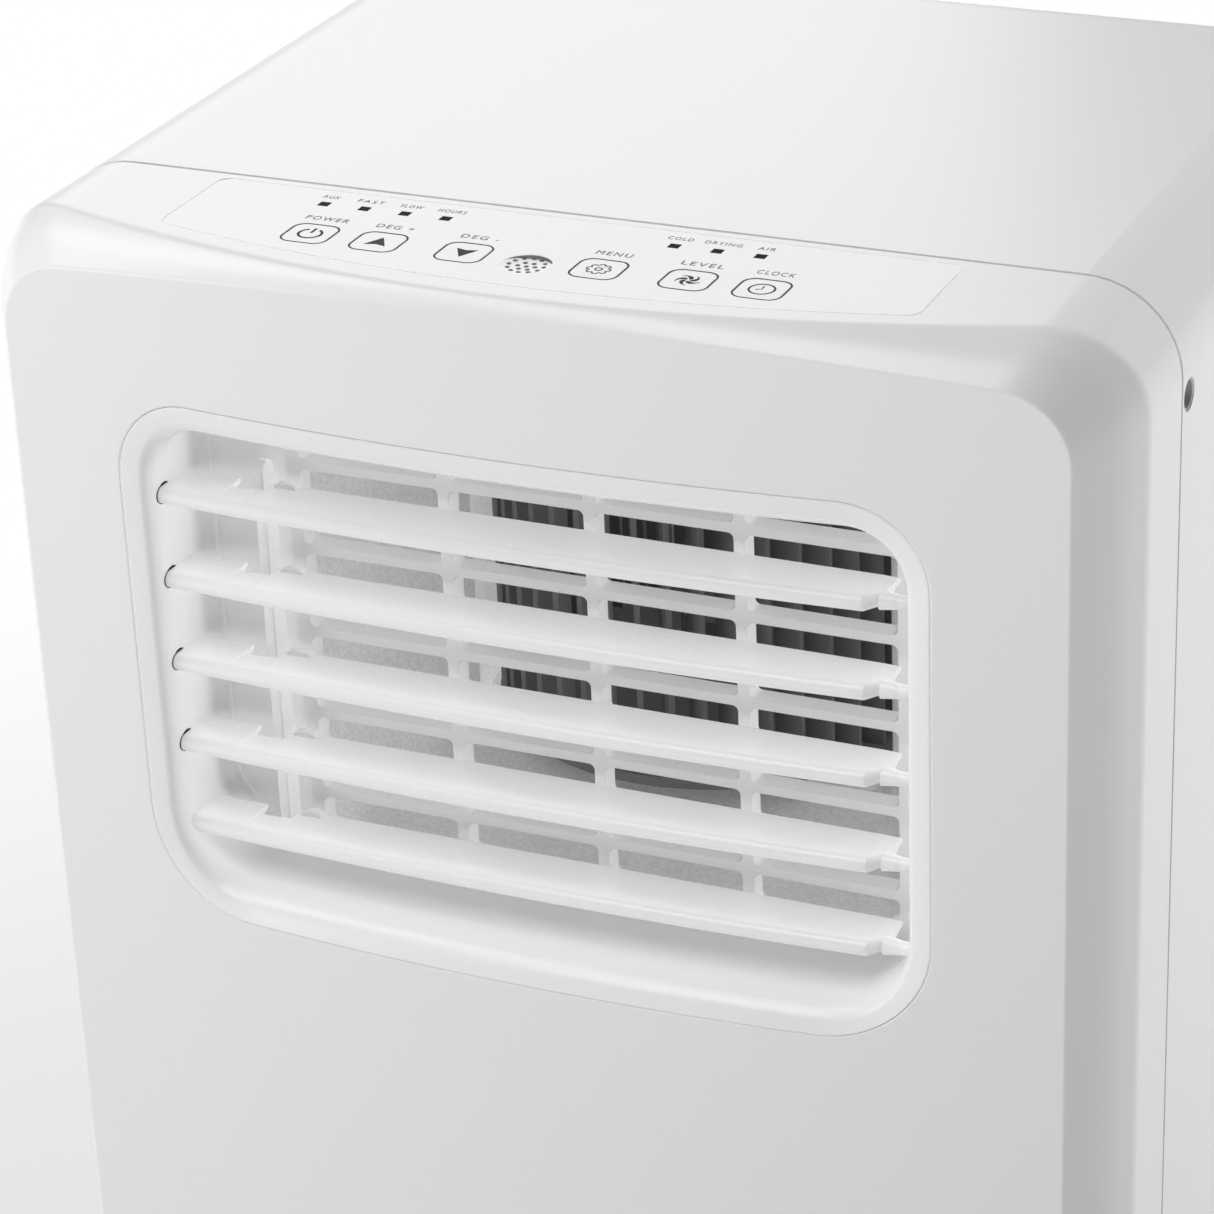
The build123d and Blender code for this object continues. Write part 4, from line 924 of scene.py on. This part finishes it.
def make_stage():
    """Pale floor round the object that fades to plain white further out."""
    mesh = bpy.data.meshes.new("floor")
    corners = [(x * FLOOR_REACH, y * FLOOR_REACH, 0) for x, y in ((-1, -1), (1, -1), (1, 1), (-1, 1))]
    mesh.from_pydata(corners, [], [(0, 1, 2, 3)])
    floor = bpy.data.objects.new("floor", mesh)
    bpy.context.scene.collection.objects.link(floor)
    material, tree, shader, place = node_material("pale_floor")
    soft = noise(tree, place, 3.0)
    tree.links.new(tint(tree, soft, (0.83, 0.83, 0.83), (0.86, 0.86, 0.86)), shader.inputs["Base Color"])
    shader.inputs["Roughness"].default_value = 0.55
    distance = tree.nodes.new("ShaderNodeVectorMath")
    distance.operation = "LENGTH"
    tree.links.new(place, distance.inputs[0])
    fade = tree.nodes.new("ShaderNodeMapRange")
    fade.interpolation_type = "SMOOTHSTEP"
    fade.inputs["From Min"].default_value = FADE_START
    fade.inputs["From Max"].default_value = FADE_END
    tree.links.new(distance.outputs["Value"], fade.inputs["Value"])
    glow = tree.nodes.new("ShaderNodeEmission")
    blend = tree.nodes.new("ShaderNodeMixShader")
    tree.links.new(fade.outputs["Result"], blend.inputs[0])
    tree.links.new(shader.outputs[0], blend.inputs[1])
    tree.links.new(glow.outputs[0], blend.inputs[2])
    tree.links.new(blend.outputs[0], tree.nodes["Material Output"].inputs["Surface"])
    floor.data.materials.append(material)


def softbox(name, azimuth, height, size, power, shadow=True):
    """Square soft light aimed at the object; azimuth 0 is in front of it, and positive is to its right.

    A light without shadow is a fill that reaches into the outlet, and it leaves no reflection."""
    lamp = bpy.data.lights.new(name, "AREA")
    lamp.size, lamp.energy, lamp.use_shadow = size, power, shadow
    box = bpy.data.objects.new(name, lamp)
    bpy.context.scene.collection.objects.link(box)
    a, e = math.radians(azimuth), math.radians(height)
    way = Vector((math.sin(a) * math.cos(e), -math.cos(a) * math.cos(e), math.sin(e)))
    box.location = LIGHT_AIM + way * LIGHT_DISTANCE
    box.rotation_euler = (-way).to_track_quat("-Z", "Y").to_euler()
    box.visible_glossy = shadow


def make_lights():
    world = bpy.data.worlds.new("studio")
    bpy.context.scene.world = world
    world.use_nodes = True
    background = world.node_tree.nodes["Background"]
    background.inputs["Color"].default_value = (1, 1, 1, 1)
    background.inputs["Strength"].default_value = 0.03
    softbox("front_left_softbox", -50, 12, 1.1, 11)
    softbox("high_front_softbox", -15, 62, 1.2, 18.5)
    softbox("high_left_softbox", -90, 55, 1.2, 17)
    softbox("back_left_softbox", -150, 22, 1.1, 6)
    softbox("back_right_fill", 145, 18, 1.1, 31, shadow=False)
    softbox("front_fill", -20, 22, 1.1, 1.5, shadow=False)


def make_camera():
    lens = bpy.data.cameras.new("camera")
    camera = bpy.data.objects.new("camera", lens)
    bpy.context.scene.collection.objects.link(camera)
    lens.sensor_width = 36.0
    lens.lens = 121.0
    camera.location = (0.43206, -1.00496, 1.05870)
    camera.rotation_euler = [math.radians(a) for a in (64.217, 2.188, 23.805)]
    bpy.context.scene.camera = camera
    bpy.context.scene.view_settings.view_transform = "Standard"


dress_cad_nodes()
make_front_cover()
make_seam_shadow()
make_outlet_frame()
make_outlet_grille()
for number in range(LOUVRES):
    make_louvre(number)
make_link_bar()
make_pivot_gap_shade()
make_key_print()
make_housing_print()
make_labels()
make_stage()
make_lights()
make_camera()
